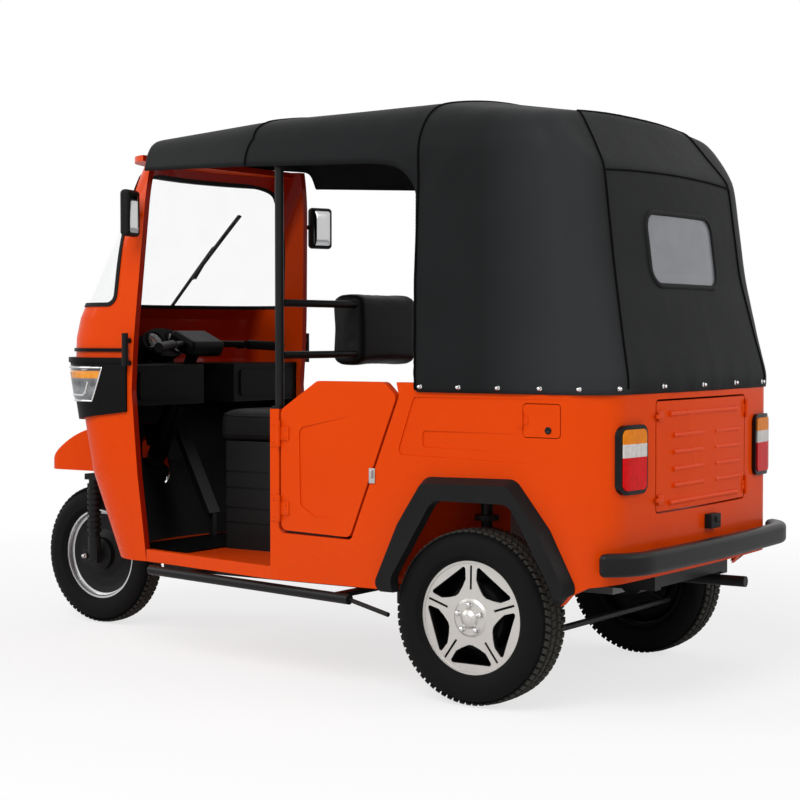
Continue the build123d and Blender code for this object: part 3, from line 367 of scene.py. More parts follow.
def rear_alloy(wire):
    out_from_middle = wire.maths("ABSOLUTE", axis_of(wire, 1)) - TRACK_HALF
    radius = wheel_radius(wire, REAR_AXLE_X)
    edge = radius.step(0.157, 0.002) * out_from_middle.step(0.030, 0.002)
    bright = wire.maths("MAXIMUM", out_from_middle.step(FACE_OUT, 0.001), edge)
    rings = wire.maths("SINE", radius * 9000.0)
    haze = noise(wire, 40.0)
    return {
        "Base Color": bright.mix(grey(0.005), (0.58, 0.56, 0.53, 1.0)),
        "Metallic": bright * 0.85,
        "Roughness": 0.50 - bright * 0.20 + haze * 0.10,
        "Normal": bump(wire, rings * bright, 0.12, 0.0002),
    }


def front_steel(wire):
    radius = wheel_radius(wire, REAR_AXLE_X + WHEELBASE)
    bright = radius.step(0.1510, 0.002)
    haze = noise(wire, 60.0)
    return {
        "Base Color": bright.mix(grey(0.006), (0.62, 0.62, 0.63, 1.0)),
        "Metallic": bright * 0.95,
        "Roughness": 0.42 - bright * 0.18 + haze * 0.12,
    }


REAR_ALLOY = finish_of("turned_alloy", shine(0.10), rear_alloy)
FRONT_STEEL = finish_of("banded_steel_wheel", shine(0.15), front_steel)
print("wheel finishes ready")

# %% [markdown]
# ## Glass and lenses
# Window glass shows mostly what is behind it, so its colour barely counts and a low alpha lets the
# view through. The rear window is flexible vinyl, milky from folding, and lets through far less.

# %% Clear pieces
def clear(name, colour, alpha, rough, ripple, drift):
    def recipe(wire):
        haze = noise(wire, 9.0, 4.0)
        return {
            "Alpha": alpha + haze * drift,
            "Roughness": rough + haze * 0.06,
            "Normal": bump(wire, noise(wire, 14.0, 2.0), 0.2, ripple),
        }
    return finish_of(name, {"Base Color": colour, "Specular IOR Level": 0.5}, recipe)


GLASS = clear("window_glass", (0.62, 0.70, 0.70, 1.0), 0.02, 0.03, 0.0004, 0.03)
HAZY_VINYL = clear("hazy_vinyl", (0.19, 0.195, 0.21, 1.0), 0.72, 0.16, 0.004, 0.30)
print("clear pieces ready")

# %% [markdown]
# The tail lamp is one moulding in three colours: amber over clear over red. Height alone decides the
# colour, and fine vertical flutes and larger facets break up the light behind it. The headlamp is a
# dark bowl with an amber strip along its top.

# %% Lamps in several colours
def tail_lens(wire):
    height = axis_of(wire, 2)
    flutes = wire.maths("SINE", axis_of(wire, 1) * (2 * math.pi / 0.007)) * 0.5 + 0.5
    spark = (noise(wire, 60.0, 2.0) * 0.6 + flutes * 0.4).clamp()
    red = spark.mix((0.34, 0.001, 0.002, 1.0), (0.86, 0.002, 0.004, 1.0))
    white = spark.mix((0.34, 0.31, 0.29, 1.0), (0.86, 0.82, 0.78, 1.0))
    amber = spark.mix((0.52, 0.10, 0.003, 1.0), (0.92, 0.30, 0.010, 1.0))
    colour = height.step(0.742, 0.001).mix(red, white)
    colour = height.step(0.780, 0.001).mix(colour, amber)
    return {
        "Base Color": colour,
        "Roughness": 0.08 + flutes * 0.10,
        "Normal": bump(wire, flutes, 0.4, 0.0010),
    }


def head_lens(wire):
    height = axis_of(wire, 2)
    bowl = wire.maths("SINE", height * (2 * math.pi / 0.052)) * 0.5 + 0.5
    spark = (noise(wire, 45.0, 2.0) * 0.7 + bowl * 0.4).clamp()
    dark = spark.mix((0.012, 0.013, 0.014, 1.0), (0.30, 0.31, 0.32, 1.0))
    amber = spark.mix((0.40, 0.08, 0.003, 1.0), (0.95, 0.36, 0.02, 1.0))
    colour = height.step(0.940, 0.001).mix(dark, amber)
    colour = height.step(0.966, 0.001).mix(colour, (0.020, 0.021, 0.022, 1.0))
    return {
        "Base Color": colour,
        "Roughness": 0.06 + spark * 0.08,
        "Normal": bump(wire, spark, 0.2, 0.0010),
    }


TAIL_LENS = finish_of("tail_lens", coated(0.14, 0.03, 0.08), tail_lens)
HEAD_LENS = finish_of("head_lens", coated(0.8, 0.03, 0.3), head_lens)
print("lamp lenses ready")

# %% [markdown]
# ## Vinyl
# The canopy is a coated cloth: matt black-grey, with a fine pebble emboss, a slow tone change where
# it has been folded and dusted, and a paler zone round the rear corners, which is a painted
# highlight. The seats use a heavier vinyl with a soft leather grain made of small cells.

# %% Canopy and seat vinyl
def canopy_vinyl(wire):
    patch = noise(wire, 3.2, 4.0)
    weave = noise(wire, 700.0, 2.0)
    slack = bump(wire, noise(wire, 9.0, 2.0), 0.35, 0.006)
    # The rear corners are made paler: a painted highlight where the cloth turns round them.
    rear = 1 - axis_of(wire, 0).step(REAR_AXLE_X - 0.17, 0.26)
    corner = rear * wire.maths("ABSOLUTE", axis_of(wire, 1)).step(0.50, 0.12)
    tone = (patch * 0.22 + corner * 0.60).clamp()
    return {
        "Base Color": tone.mix((0.0040, 0.0044, 0.0046, 1.0), (0.034, 0.035, 0.037, 1.0)),
        "Roughness": 0.50 + patch * 0.16,
        "Normal": bump(wire, cells_of(wire, 420.0) * 0.7 + weave * 0.5, 0.35, 0.0006, slack),
    }


def seat_vinyl(wire):
    patch = noise(wire, 5.0, 3.0)
    return {
        "Base Color": patch.mix(grey(0.0038), grey(0.0080)),
        "Roughness": 0.38 + patch * 0.14,
        "Normal": bump(wire, cells_of(wire, 260.0).step(0.12, 0.2), 0.30, 0.0008),
    }


CANOPY = finish_of("canopy_vinyl", shine(0.085), canopy_vinyl)
SEAT = finish_of("seat_vinyl", shine(0.12), seat_vinyl)
print("vinyl ready")

# %% [markdown]
# ## Dressing the CAD nodes
# The record names each node's material slot. A table turns slots into finishes, and a few nodes get
# one of their own.

# %% Assign
SLOT_FINISH = {
    "body_paint": PAINT, "canopy_vinyl": CANOPY, "clear_glass": GLASS, "clear_vinyl": HAZY_VINYL,
    "rubber": RUBBER, "black_plastic": PLASTIC, "lamp_clear": HEAD_LENS, "lamp_red": TAIL_LENS,
    "black_metal": POWDER, "seat_vinyl": SEAT, "engine_metal": CASTING, "tyre_rubber": TYRE,
    "rim_alloy": REAR_ALLOY, "steel": STEEL,
}
# These nodes take the satin black; its darker colour is painted shade in the cab.
SATIN_NODES = ("dashboard", "handlebar", "lamp_panels", "footwell_liner", "steering_head")
NODE_FINISH = {"front_rim": FRONT_STEEL, "tail_bezels": GLOSS_BLACK, **dict.fromkeys(SATIN_NODES, SHADE_DARK_SATIN)}
for node_name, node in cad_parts.items():
    slot_name = node.data.materials[0].name.split(".")[0]
    node.data.materials.clear()
    node.data.materials.append(NODE_FINISH.get(node_name) or SLOT_FINISH[slot_name])
print("dressed nodes:", len(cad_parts))

# %% [markdown]
# ## The canopy
# A single sheet of coated cloth is pulled over bows from the windscreen header to the hem behind the
# passengers. It could be drawn as panels, but real cloth turns smoothly over every bow, so this is
# one grid: half sections run from the ridge down to the lower edge, first square to the vehicle, then
# fanned round a point on the ridge to make the rear end. Rays cast inwards on to the CAD solids give
# the points, spacing along each section is made even, and one smoothing pass rounds the folds as
# cloth would.

# %% Helpers for meshes
def merged_copy(*node_names):
    """One bmesh of CAD nodes with their loose triangles joined."""
    joined = bmesh.new()
    for name in node_names:
        joined.from_mesh(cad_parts[name].data)
    bmesh.ops.remove_doubles(joined, verts=joined.verts, dist=0.00005)
    return joined


def cad_tree(*node_names):
    """A search tree over CAD nodes, for casting rays on to them."""
    joined = merged_copy(*node_names)
    tree = BVHTree.FromBMesh(joined)
    joined.free()
    return tree


def surface_tree(mesh):
    points = [v.co.copy() for v in mesh.vertices]
    return BVHTree.FromPolygons(points, [tuple(p.vertices) for p in mesh.polygons])


def ring_faces(first, rings, size):
    """Quads between closed rings of points that follow one another in a list."""
    faces = []
    for a in range(first, first + (rings - 1) * size, size):
        for i in range(size):
            j = (i + 1) % size
            faces.append((a + i, a + j, a + size + j, a + size + i))
    return faces


def mesh_of(name, points, faces, facing=None):
    """A mesh with all its faces the same way out, turned to a direction where one is given."""
    shape = bmesh.new()
    shape.from_mesh(raw_mesh(name + "_raw", points, faces))
    bmesh.ops.recalc_face_normals(shape, faces=shape.faces)
    if facing and sum(f.normal.dot(facing) for f in shape.faces) < 0:
        bmesh.ops.reverse_faces(shape, faces=shape.faces)
    return as_mesh(name, shape)


def as_mesh(name, shape):
    mesh = bpy.data.meshes.new(name)
    shape.to_mesh(mesh)
    shape.free()
    return mesh


def dress(name, mesh, finish, body="vehicle"):
    """A smooth piece with a finish, which rides on a body."""
    mesh.name = name
    mesh.materials.clear()
    mesh.materials.append(finish)
    for polygon in mesh.polygons:
        polygon.use_smooth = True
    obj = link(bpy.data.objects.new(name, mesh))
    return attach(obj, body)


def finished(name, mesh, finish, body):
    made = dress(name, mesh, finish, body)
    print(name, len(made.data.polygons), "faces on", body)
    return made


def bake(obj):
    """Turns an object with modifiers into a plain mesh and removes the object."""
    graph = bpy.context.evaluated_depsgraph_get()
    mesh = bpy.data.meshes.new_from_object(obj.evaluated_get(graph))
    bpy.data.objects.remove(obj)
    return mesh


def row(x_mm):
    """From the drawing's rear axle, in millimetres, to the row frame, in metres."""
    return x_mm / 1000.0 + REAR_AXLE_X


def drawn(x_mm, y_mm, z_mm):
    """A point of the drawing, in millimetres, in the row frame."""
    return Vector((row(x_mm), y_mm / 1000.0, z_mm / 1000.0))


print("mesh helpers ready")

# %% Sections by ray casting
canopy_tree = cad_tree("canopy_roof", "canopy_hood", "rear_window")
HUB = 1.300
EDGE_LINE = [(187, 1.522), (215, 1.566), (262, 1.594), (353, 1.606), (716, 1.616), (1500, 1.648)]
HEM, SHELF = 0.920, 1.522
RAYS, RAY_STEP, SPARE = 261, 0.6, 0.03
SIDEWAYS = math.pi / 2


def edge_height(x_mm):
    for (xa, za), (xb, zb) in zip(EDGE_LINE, EDGE_LINE[1:]):
        if xa <= x_mm <= xb:
            return za + (zb - za) * (x_mm - xa) / (xb - xa)
    return SHELF


def skin_point(centre, direction):
    """Where a ray from outside first meets the canopy, if that is on the near side."""
    hit = canopy_tree.ray_cast(centre + direction * 3.0, -direction)[0]
    return hit if hit and (hit - centre).dot(direction) > 0.0 else None


def even(points, count):
    """The same line with its points evenly spaced."""
    spans = [(b - a).length for a, b in zip(points, points[1:])]
    total = sum(spans)
    result, at, k = [points[0]], 0.0, 0
    for i in range(1, count):
        goal = total * i / count
        while at + spans[k] < goal:
            at += spans[k]
            k += 1
        result.append(points[k].lerp(points[k + 1], (goal - at) / spans[k]))
    return result + [points[-1]]


def half_section(x_mm, bearing, levels, counts):
    """From the ridge outwards along a bearing, through each level in turn."""
    centre = Vector((row(x_mm), 0.0, HUB))
    outward = Vector((math.cos(bearing), math.sin(bearing), 0.0))
    trace = []
    for i in range(RAYS):
        tilt = math.radians(90.0 - i * RAY_STEP)
        hit = skin_point(centre, outward * math.cos(tilt) + Vector((0, 0, math.sin(tilt))))
        if hit and hit.z > levels[-1] - SPARE:
            trace.append(hit)
    line, start = [], 0
    for level, count in zip(levels, counts):
        stop = next((k for k in range(start + 1, len(trace)) if trace[k].z <= level), len(trace) - 1)
        a, b = trace[stop - 1], trace[stop]
        share = (a.z - level) / (a.z - b.z) if a.z != b.z else 1.0
        cut = a.lerp(b, max(0.0, min(2.0, share)))
        run = even([line[-1] if line else trace[0]] + trace[start + 1 if line else 1:stop] + [cut], count)
        line += run[1:] if line else run
        start = stop - 1
    return line


UPPER, LOWER = 18, 18
ROOF_STATIONS = [1345 - (1345 - 400) * i / 20 for i in range(21)] + [352, 308, 270, 240, 214]
HOOD_STATIONS = [187, 168, 140, 100, 60, 20, -20, -60, -100, -135]
FAN = 60
ROOF_FRONT, ROOF_ROUND = 1466.0, 1200.0
PIVOT_X = -150
print("stations:", len(ROOF_STATIONS), "roof,", len(HOOD_STATIONS), "hood,", FAN + 1, "fanned")

# %% Weave the sections into one grid
sheet_points, rows_left, rows_right = [], [], []


def add_line(line):
    first = len(sheet_points)
    sheet_points.extend(line)
    return list(range(first, first + len(line)))


def add_half(half):
    """A half section and its mirror image, which share the point on the ridge."""
    left = add_line(half)
    rows_left.append(left)
    rows_right.append([left[0]] + add_line([Vector((p.x, -p.y, p.z)) for p in half[1:]]))


def front_section(base, share):
    """A section between the first station and the rounded front edge of the roof."""
    line = []
    for spot in base:
        goal = ROOF_FRONT - ROOF_ROUND + math.sqrt(ROOF_ROUND ** 2 - (spot.y * 1000.0) ** 2) - 3.0
        centre = Vector((spot.x + (row(goal) - spot.x) * share, 0.0, HUB))
        outward = Vector((0.0, spot.y, spot.z - HUB)).normalized()
        line.append(skin_point(centre, outward) or Vector((centre.x, spot.y, spot.z)))
    return line


def roof_section(x_mm):
    return half_section(x_mm, SIDEWAYS, [edge_height(x_mm)], [UPPER])


def hood_section(x_mm, bearing):
    return half_section(x_mm, bearing, [SHELF, HEM], [UPPER, LOWER])


first_half = roof_section(ROOF_STATIONS[0])
for share in (1.0, 0.75, 0.4):
    add_half(front_section(first_half, share))
add_half(first_half)
for x_mm in ROOF_STATIONS[1:]:
    add_half(roof_section(x_mm))
for x_mm in HOOD_STATIONS:
    add_half(hood_section(x_mm, SIDEWAYS))
fan = [hood_section(PIVOT_X, SIDEWAYS + math.pi * i / FAN) for i in range(FAN + 1)]
pole = add_line([fan[0][0]])
fan_rows = [pole + add_line(half[1:]) for half in fan]
rows_left.append(fan_rows[0])
rows_right.append(fan_rows[-1])

sheet_faces = []
for rows, flip in ((rows_left, True), (rows_right, False), (fan_rows, True)):
    for first, second in zip(rows, rows[1:]):
        for k in range(min(len(first), len(second)) - 1):
            quad = list(dict.fromkeys([first[k], first[k + 1], second[k + 1], second[k]]))
            if len(quad) > 2:
                sheet_faces.append(quad[::-1] if flip else quad)
LIP_REST, LIP_DEEP, LIP_OUT, LIP_NARROW = 1.7035, 0.050, 0.002, 0.985
front_line = rows_right[0][:0:-1] + rows_left[0]
lip = []
for k in front_line:
    top = sheet_points[k]
    low = max(top.z - LIP_DEEP, min(top.z, LIP_REST))
    lip += add_line([Vector((top.x + LIP_OUT, top.y * LIP_NARROW, low))])
for k in range(len(lip) - 1):
    sheet_faces.append([front_line[k], front_line[k + 1], lip[k + 1], lip[k]])
print("canopy grid:", len(sheet_points), "points,", len(sheet_faces), "faces")

# %% [markdown]
# Cloth does not keep a knife edge, so the grid is relaxed once: each inner point moves towards the
# mean of its neighbours. Then the slack shows: shallow folds run down from the bows at the corners,
# and the hem draws in at each stud and bellies out between them.

# %% Relax, fold and thicken
RELAX, RELAX_ABOVE, STUD_PITCH, HEM_DEEP, FOLD_Z, FOLD_X = 0.35, 1.02, 0.150, 0.16, 1.60, 150
HEM_LIFT, BELLY, FOLD, SAG, CLOTH = 0.0010, 0.0022, 0.0032, 0.004, 0.004
canopy_bm = bmesh.new()
canopy_bm.from_mesh(raw_mesh("canopy_grid", sheet_points, sheet_faces))
bmesh.ops.recalc_face_normals(canopy_bm, faces=canopy_bm.faces)
moved = {}
for vert in canopy_bm.verts:
    if not vert.is_boundary and vert.co.z > RELAX_ABOVE:
        mean = sum((e.other_vert(vert).co for e in vert.link_edges), Vector()) / len(vert.link_edges)
        moved[vert] = vert.co.lerp(mean, RELAX)
for vert, spot in moved.items():
    vert.co = spot
canopy_bm.normal_update()


def near_to(value, middle, half):
    """1 at the middle, falling to 0 at a half width away."""
    return max(0.0, 1.0 - abs(value - middle) / half)


for vert in canopy_bm.verts:
    if vert.is_boundary:
        continue
    spot, x_mm = vert.co, (vert.co.x - REAR_AXLE_X) * 1000.0
    along = spot.x if abs(spot.y) > 0.58 else spot.y
    hem_share = max(0.0, 1.0 - (spot.z - HEM) / HEM_DEEP) if x_mm < 200 else 0.0
    wave = (1.0 - math.cos(2 * math.pi * along / STUD_PITCH)) * 0.5
    belly = HEM_LIFT * min(1.0, hem_share * 3.0) + BELLY * hem_share * wave
    corner = near_to(spot.z, FOLD_Z, 0.22) * near_to(x_mm, FOLD_X, 330.0)
    fold = FOLD * corner * math.sin(x_mm / 21.0 + spot.z * 26.0 + 1.3 * spot.y)
    span = math.sin(math.pi * min(1.0, max(0.0, (x_mm - 190) / 640.0))) ** 2
    vert.co = spot + vert.normal * (belly + fold) + Vector((0, 0, -SAG * near_to(spot.y, 0.0, 0.5) * span))
canopy_raw = link(bpy.data.objects.new("canopy_raw", as_mesh("canopy_raw", canopy_bm)))
for polygon in canopy_raw.data.polygons:
    polygon.use_smooth = True
softer = canopy_raw.modifiers.new("soft", "SUBSURF")
softer.levels = softer.render_levels = 1
thick = canopy_raw.modifiers.new("cloth", "SOLIDIFY")
thick.thickness = CLOTH
thick.offset = -1.0
print("canopy folded:", len(canopy_raw.data.vertices), "points")

# %% [markdown]
# The rear window is welded into a round-cornered cut-out. A prism with the same outline is taken out
# of the thick sheet with a Boolean.

# %% Window cut-out
WINDOW_HALF, WINDOW_LOW, WINDOW_HIGH, WINDOW_ROUND = 0.228, 1.240, 1.452, 0.050
CUT_FROM, CUT_TO = row(-560), row(-260)


def round_rect(half_y, low, high, radius, steps=8):
    """Points of a rounded rectangle in y and z, anticlockwise."""
    points = []
    corners = [(half_y, high, 0), (-half_y, high, 90), (-half_y, low, 180), (half_y, low, 270)]
    for y, z, start in corners:
        cy = y - math.copysign(radius, y)
        cz = z - radius if z == high else z + radius
        for i in range(steps + 1):
            turn = math.radians(start + 90.0 * i / steps)
            points.append((cy + radius * math.cos(turn), cz + radius * math.sin(turn)))
    return points


outline = round_rect(WINDOW_HALF, WINDOW_LOW, WINDOW_HIGH, WINDOW_ROUND)
count = len(outline)
cutter_points = [(x, y, z) for x in (CUT_FROM, CUT_TO) for y, z in outline]
cutter_ends = [list(range(count))[::-1], list(range(count, 2 * count))]
cutter_mesh = mesh_of("window_cutter", cutter_points, ring_faces(0, 2, count) + cutter_ends)
cutter = link(bpy.data.objects.new("window_cutter", cutter_mesh))
cut = canopy_raw.modifiers.new("window", "BOOLEAN")
cut.object = cutter
cut.solver = "EXACT"
canopy = dress("canopy_sheet", bake(canopy_raw), CANOPY)
bpy.data.objects.remove(cutter)
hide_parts("canopy_roof", "canopy_hood")

# %% [markdown]
# ## Seats
# Each seat pad is foam in a sewn vinyl cover. Cloth simulation gives the right fullness: a slightly
# small copy of the pad is remeshed into even quads and inflated a little, a cap keeps any point from
# moving too far, and the face that rests on its base stays flat.

# %% Stuff the pads
FRAMES, PRESSURE, SHRINK = 20, 4.0, 1.1


def stuffed(node, voxel, puff, flat_axis, behind=0.0):
    """A padded copy of a CAD node, flat where its low side rests.

    Behind is how far the cover wraps round the bars that carry it.
    """
    name = node + "_pad"
    low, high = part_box(node)
    wrap = (high.x - low.x + behind) / (high.x - low.x)
    low.x -= behind
    middle = (low + high) / 2
    rest = low[flat_axis]
    solid = merged_copy(node)
    for vert in solid.verts:
        vert.co.x = high.x - (high.x - vert.co.x) * wrap
        for axis in range(3):
            share = 1.0 - SHRINK * puff / (high[axis] - low[axis])
            anchor = rest if axis == flat_axis else middle[axis]
            vert.co[axis] = anchor + (vert.co[axis] - anchor) * share
    raw = link(bpy.data.objects.new(name + "_raw", as_mesh(name, solid)))
    remesh = raw.modifiers.new("even", "REMESH")
    remesh.mode = "VOXEL"
    remesh.voxel_size = voxel
    even_mesh = bake(raw)
    start = [v.co.copy() for v in even_mesh.vertices]
    raw = link(bpy.data.objects.new(name + "_cloth", even_mesh))
    cloth = raw.modifiers.new("stuffing", "CLOTH")
    cloth.settings.use_pressure = True
    cloth.settings.uniform_pressure_force = PRESSURE
    cloth.settings.effector_weights.gravity = 0.0
    cloth.point_cache.frame_start, cloth.point_cache.frame_end = 1, FRAMES
    for step in range(1, FRAMES + 1):
        scene.frame_set(step)
    full = bake(raw)
    scene.frame_set(1)
    for vert, origin in zip(full.vertices, start):
        shift = vert.co - origin
        if shift.length > puff:
            shift *= puff / shift.length
        if abs(origin[flat_axis] - rest) < voxel * 1.5:
            shift[flat_axis] = 0.0
        vert.co = origin + shift
        vert.co[flat_axis] = max(vert.co[flat_axis], rest)
    raw = link(bpy.data.objects.new(name + "_full", full))
    settle = raw.modifiers.new("settle", "SMOOTH")
    settle.factor, settle.iterations = 0.5, 6
    finer = raw.modifiers.new("fine", "SUBSURF")
    finer.levels = finer.render_levels = 1
    pad = dress(name, bake(raw), SEAT)
    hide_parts(node)
    print(name, len(pad.data.polygons), "faces")
    return pad


driver_pad = stuffed("driver_cushion", 0.009, 0.010, 2)
stuffed("driver_backrest", 0.009, 0.006, 0, 0.036)
bench_pad = stuffed("bench_cushion", 0.014, 0.018, 2)
stuffed("bench_backrest", 0.014, 0.016, 2)

# %% [markdown]
# ## Two small node trees
# Many details repeat or follow a line: studs, screws and tread blocks are one shape set down many
# times, while seams and hoses are a round section run along a path. Two Geometry Nodes trees do both.
# One puts a shape on points, turned to a stored direction, and the other sweeps a circle along edges.
# The result is made a plain mesh, because an export can't carry instances.

# %% The trees
GEOMETRY, MATERIAL = "NodeSocketGeometry", "NodeSocketMaterial"
SWEEP_SIDES = 10


def tree_of(name, title, kind, build):
    """A node group with geometry in and out, one input of its own and a finish."""
    tree = bpy.data.node_groups.new(name, "GeometryNodeTree")
    for socket, socket_type in (("Geometry", GEOMETRY), (title, kind), ("Finish", MATERIAL)):
        tree.interface.new_socket(socket, in_out="INPUT", socket_type=socket_type)
    tree.interface.new_socket("Geometry", in_out="OUTPUT", socket_type=GEOMETRY)
    group = tree.nodes.new("NodeGroupInput")
    seed, own, finish = (Wire(tree, group.outputs[socket]) for socket in ("Geometry", title, "Finish"))
    made = build(seed, own)
    real = made.node("GeometryNodeRealizeInstances", None, {"Geometry": made})
    painted = made.node("GeometryNodeSetMaterial", None, {"Geometry": real, "Material": finish})
    made.node("NodeGroupOutput", None, {"Geometry": painted})
    return tree


def turned_to(seed, attribute, settings, inputs):
    """A rotation that aligns one axis to a direction stored on the points."""
    read = {"data_type": "FLOAT_VECTOR"}
    stored = seed.node("GeometryNodeInputNamedAttribute", read, {"Name": attribute}, "Attribute")
    return seed.node("FunctionNodeAlignRotationToVector", settings, {"Vector": stored, **inputs})


def set_down(seed, shape):
    solid = seed.node("GeometryNodeObjectInfo", None, {"Object": shape}, "Geometry")
    turn = turned_to(seed, "facing", {"axis": "Z"}, {})
    turn = turned_to(seed, "along", {"axis": "X", "pivot_axis": "Z"}, {"Rotation": turn})
    inputs = {"Points": seed, "Instance": solid, "Rotation": turn}
    return seed.node("GeometryNodeInstanceOnPoints", None, inputs)


def swept(seed, radius):
    curve = seed.node("GeometryNodeMeshToCurve", None, {"Mesh": seed})
    circle = seed.node("GeometryNodeCurvePrimitiveCircle", None, {"Resolution": SWEEP_SIDES, "Radius": radius})
    inputs = {"Curve": curve, "Profile Curve": circle, "Fill Caps": True}
    return seed.node("GeometryNodeCurveToMesh", None, inputs)


SET_DOWN = tree_of("set_down", "Shape", "NodeSocketObject", set_down)
SWEEP = tree_of("sweep", "Radius", "NodeSocketFloat", swept)


def grow(name, mesh, tree, values):
    """Runs a tree on a mesh and gives the plain mesh that comes out."""
    raw = link(bpy.data.objects.new(name + "_seed", mesh))
    worker = raw.modifiers.new("nodes", "NODES")
    worker.node_group = tree
    for item in tree.interface.items_tree:
        if item.in_out == "INPUT" and item.name in values:
            worker[item.identifier] = values[item.name]
    return bake(raw)


def lathe(name, profile, steps, hollow=False):
    """A closed turned shape about Z from points of radius and height.

    A hollow one is a ring with a hole through it.
    """
    turned = bmesh.new()
    rings = []
    for radius, height in profile:
        if radius < 1e-6:
            rings.append([turned.verts.new((0, 0, height))])
        else:
            spots = [2 * math.pi * i / steps for i in range(steps)]
            circle = [(radius * math.cos(a), radius * math.sin(a), height) for a in spots]
            rings.append([turned.verts.new(point) for point in circle])
    for low, high in zip(rings, rings[1:] + rings[:1] if hollow else rings[1:]):
        for i in range(steps):
            j = (i + 1) % steps
            corners = [low[i % len(low)], low[j % len(low)], high[j % len(high)], high[i % len(high)]]
            corners = list(dict.fromkeys(corners))
            if len(corners) > 2:
                turned.faces.new(corners)
    for ring in (rings[0], rings[-1]):
        if len(ring) > 2 and not hollow:
            turned.faces.new(ring)
    bmesh.ops.recalc_face_normals(turned, faces=turned.faces)
    return as_mesh(name, turned)


def spread(name, shape_mesh, spots, finish):
    """A shape on many spots, each a place, a facing direction and a direction along the surface."""
    mesh = raw_mesh(name, [spot[0] for spot in spots], [])
    for title, k in (("facing", 1), ("along", 2)):
        layer = mesh.attributes.new(title, "FLOAT_VECTOR", "POINT")
        for item, spot in zip(layer.data, spots):
            item.vector = tuple(spot[k])
    shape = link(bpy.data.objects.new(name + "_shape", shape_mesh))
    made = grow(name, mesh, SET_DOWN, {"Shape": shape, "Finish": finish})
    bpy.data.objects.remove(shape)
    return made


def scatter(name, shape_mesh, spots, finish, body="vehicle"):
    """A shape on many spots, as one finished piece."""
    return finished(name, spread(name + "_spots", shape_mesh, spots, finish), finish, body)


def sweep(name, paths, radius, finish, body="vehicle"):
    """Round tubes along lists of points."""
    points, edges = [], []
    for path_points in paths:
        first = len(points)
        points += path_points
        edges += [(k, k + 1) for k in range(first, len(points) - 1)]
    tubes = grow(name, raw_mesh(name + "_path", points, [], edges), SWEEP, {"Radius": radius, "Finish": finish})
    return finished(name, tubes, finish, body)


print("trees:", SET_DOWN.name, SWEEP.name)

# %% [markdown]
# ## Tyres
# A road tyre is a smooth casing with blocks moulded round it. Cutting grooves would need a very fine
# mesh, so the casing is turned a little under size and the tread stands on it: two shoulder rows of
# slanted blocks and two middle ribs broken by fine cuts. Their tops reach the drawn radius and no
# further, so the wheel still stands on the ground.

# %% Tyre casings and tread
TYRE_RADIUS, TREAD, RIM, SINK = HUB_Z, 0.006, 0.168, 0.0002
CASING_STEPS, BLOCKS = 96, 72


def casing_profile(width, bulge):
    """Half a casing from the bead to the crown, as distance from the middle plane and radius."""
    h, crown = width / 2, TYRE_RADIUS - TREAD
    bead = [(0.022, 0.0), (0.014, 0.004), (0.010, 0.012), (0.0055, 0.014), (0.004, 0.018)]
    wall = [(0.001, 0.034), (0.0, 0.046), (0.002, 0.056)]
    return [(h - inward, RIM + up) for inward, up in bead + wall] + [
        (h - 0.008, TYRE_RADIUS - 0.019), (h - 0.018, crown - bulge - 0.004),
        (h - 0.028, crown - bulge + 0.0012), (h * 0.35, crown - bulge * 0.25), (0.0, crown),
    ]


def block_mesh(name, length, width, height, slant):
    """A tread block with sloping sides, skewed along the tyre."""
    vertices = []
    for z, share in ((-height * 0.5, 1.0), (height * 0.62, 0.96), (height, 0.84)):
        for sx, sy in ((-1, -1), (1, -1), (1, 1), (-1, 1)):
            vertices.append((sx * length / 2 * share + sy * slant, sy * width / 2 * share, z))
    return raw_mesh(name, vertices, [(8, 9, 10, 11)] + ring_faces(0, 3, 4) + [(3, 2, 1, 0)])


def tyre(node, hub, width, bulge, body):
    """A casing and its tread as one piece in place of a CAD tyre."""
    half = casing_profile(width, bulge)
    ring = [(r, y) for y, r in half] + [(r, -y) for y, r in reversed(half[:-1])]
    shell = lathe(node + "_casing", ring, CASING_STEPS, hollow=True)
    shell.transform(Matrix.Translation(hub) @ Matrix.Rotation(math.radians(90.0), 4, "X"))
    joined = bmesh.new()
    joined.from_mesh(shell)
    edge = width / 2 - 0.033
    rows = [  # offset, block width, share of the pitch, slant, drop below the crown
        (-edge, 0.026, 0.72, -0.004, 0.0030),
        (-edge * 0.36, 0.018, 0.88, 0.003, 0.0006),
        (edge * 0.36, 0.018, 0.88, -0.003, 0.0006),
        (edge, 0.026, 0.72, 0.004, 0.0030),
    ]
    for k, (offset, block_width, share, slant, drop) in enumerate(rows):
        length = 2 * math.pi * TYRE_RADIUS / BLOCKS * share
        spots = []
        for i in range(BLOCKS):
            turn = 2 * math.pi * (i + 0.5 * (k % 2)) / BLOCKS
            outward = Vector((math.cos(turn), 0.0, math.sin(turn)))
            along = Vector((-math.sin(turn), 0.0, math.cos(turn)))
            foot = hub + outward * (TYRE_RADIUS - TREAD - drop) + Vector((0, offset, 0))
            spots.append((foot, outward, along))
        block = block_mesh(node + "_block", length, block_width, TREAD - SINK, slant)
        joined.from_mesh(spread(node + "_tread", block, spots, TYRE))
    made = finished(node + "_dressed", as_mesh(node + "_dressed", joined), TYRE, body)
    for polygon in made.data.polygons:
        polygon.use_smooth = polygon.index < len(shell.polygons)
    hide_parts(node)


for side, end in ((1, "left"), (-1, "right")):
    tyre("rear_tyre_" + end, Vector((REAR_AXLE_X, side * TRACK_HALF, HUB_Z)), 0.150, 0.005, "rear_wheel_" + end)
tyre("front_tyre", Vector((REAR_AXLE_X + WHEELBASE, 0.0, HUB_Z)), 0.106, 0.007, "front_wheel")

# %% [markdown]
# ## Seams, window frame and studs of the canopy
# The cloth is sewn from panels, and each join is bound with a narrow cord. The joins run where the
# panels meet: up the rear corners, across under the rear roof, and down behind the side opening. Each
# line is given by a few points, filled in, and dropped on to the nearest spot of the finished sheet,
# so the cord lies on the cloth whatever its folds.

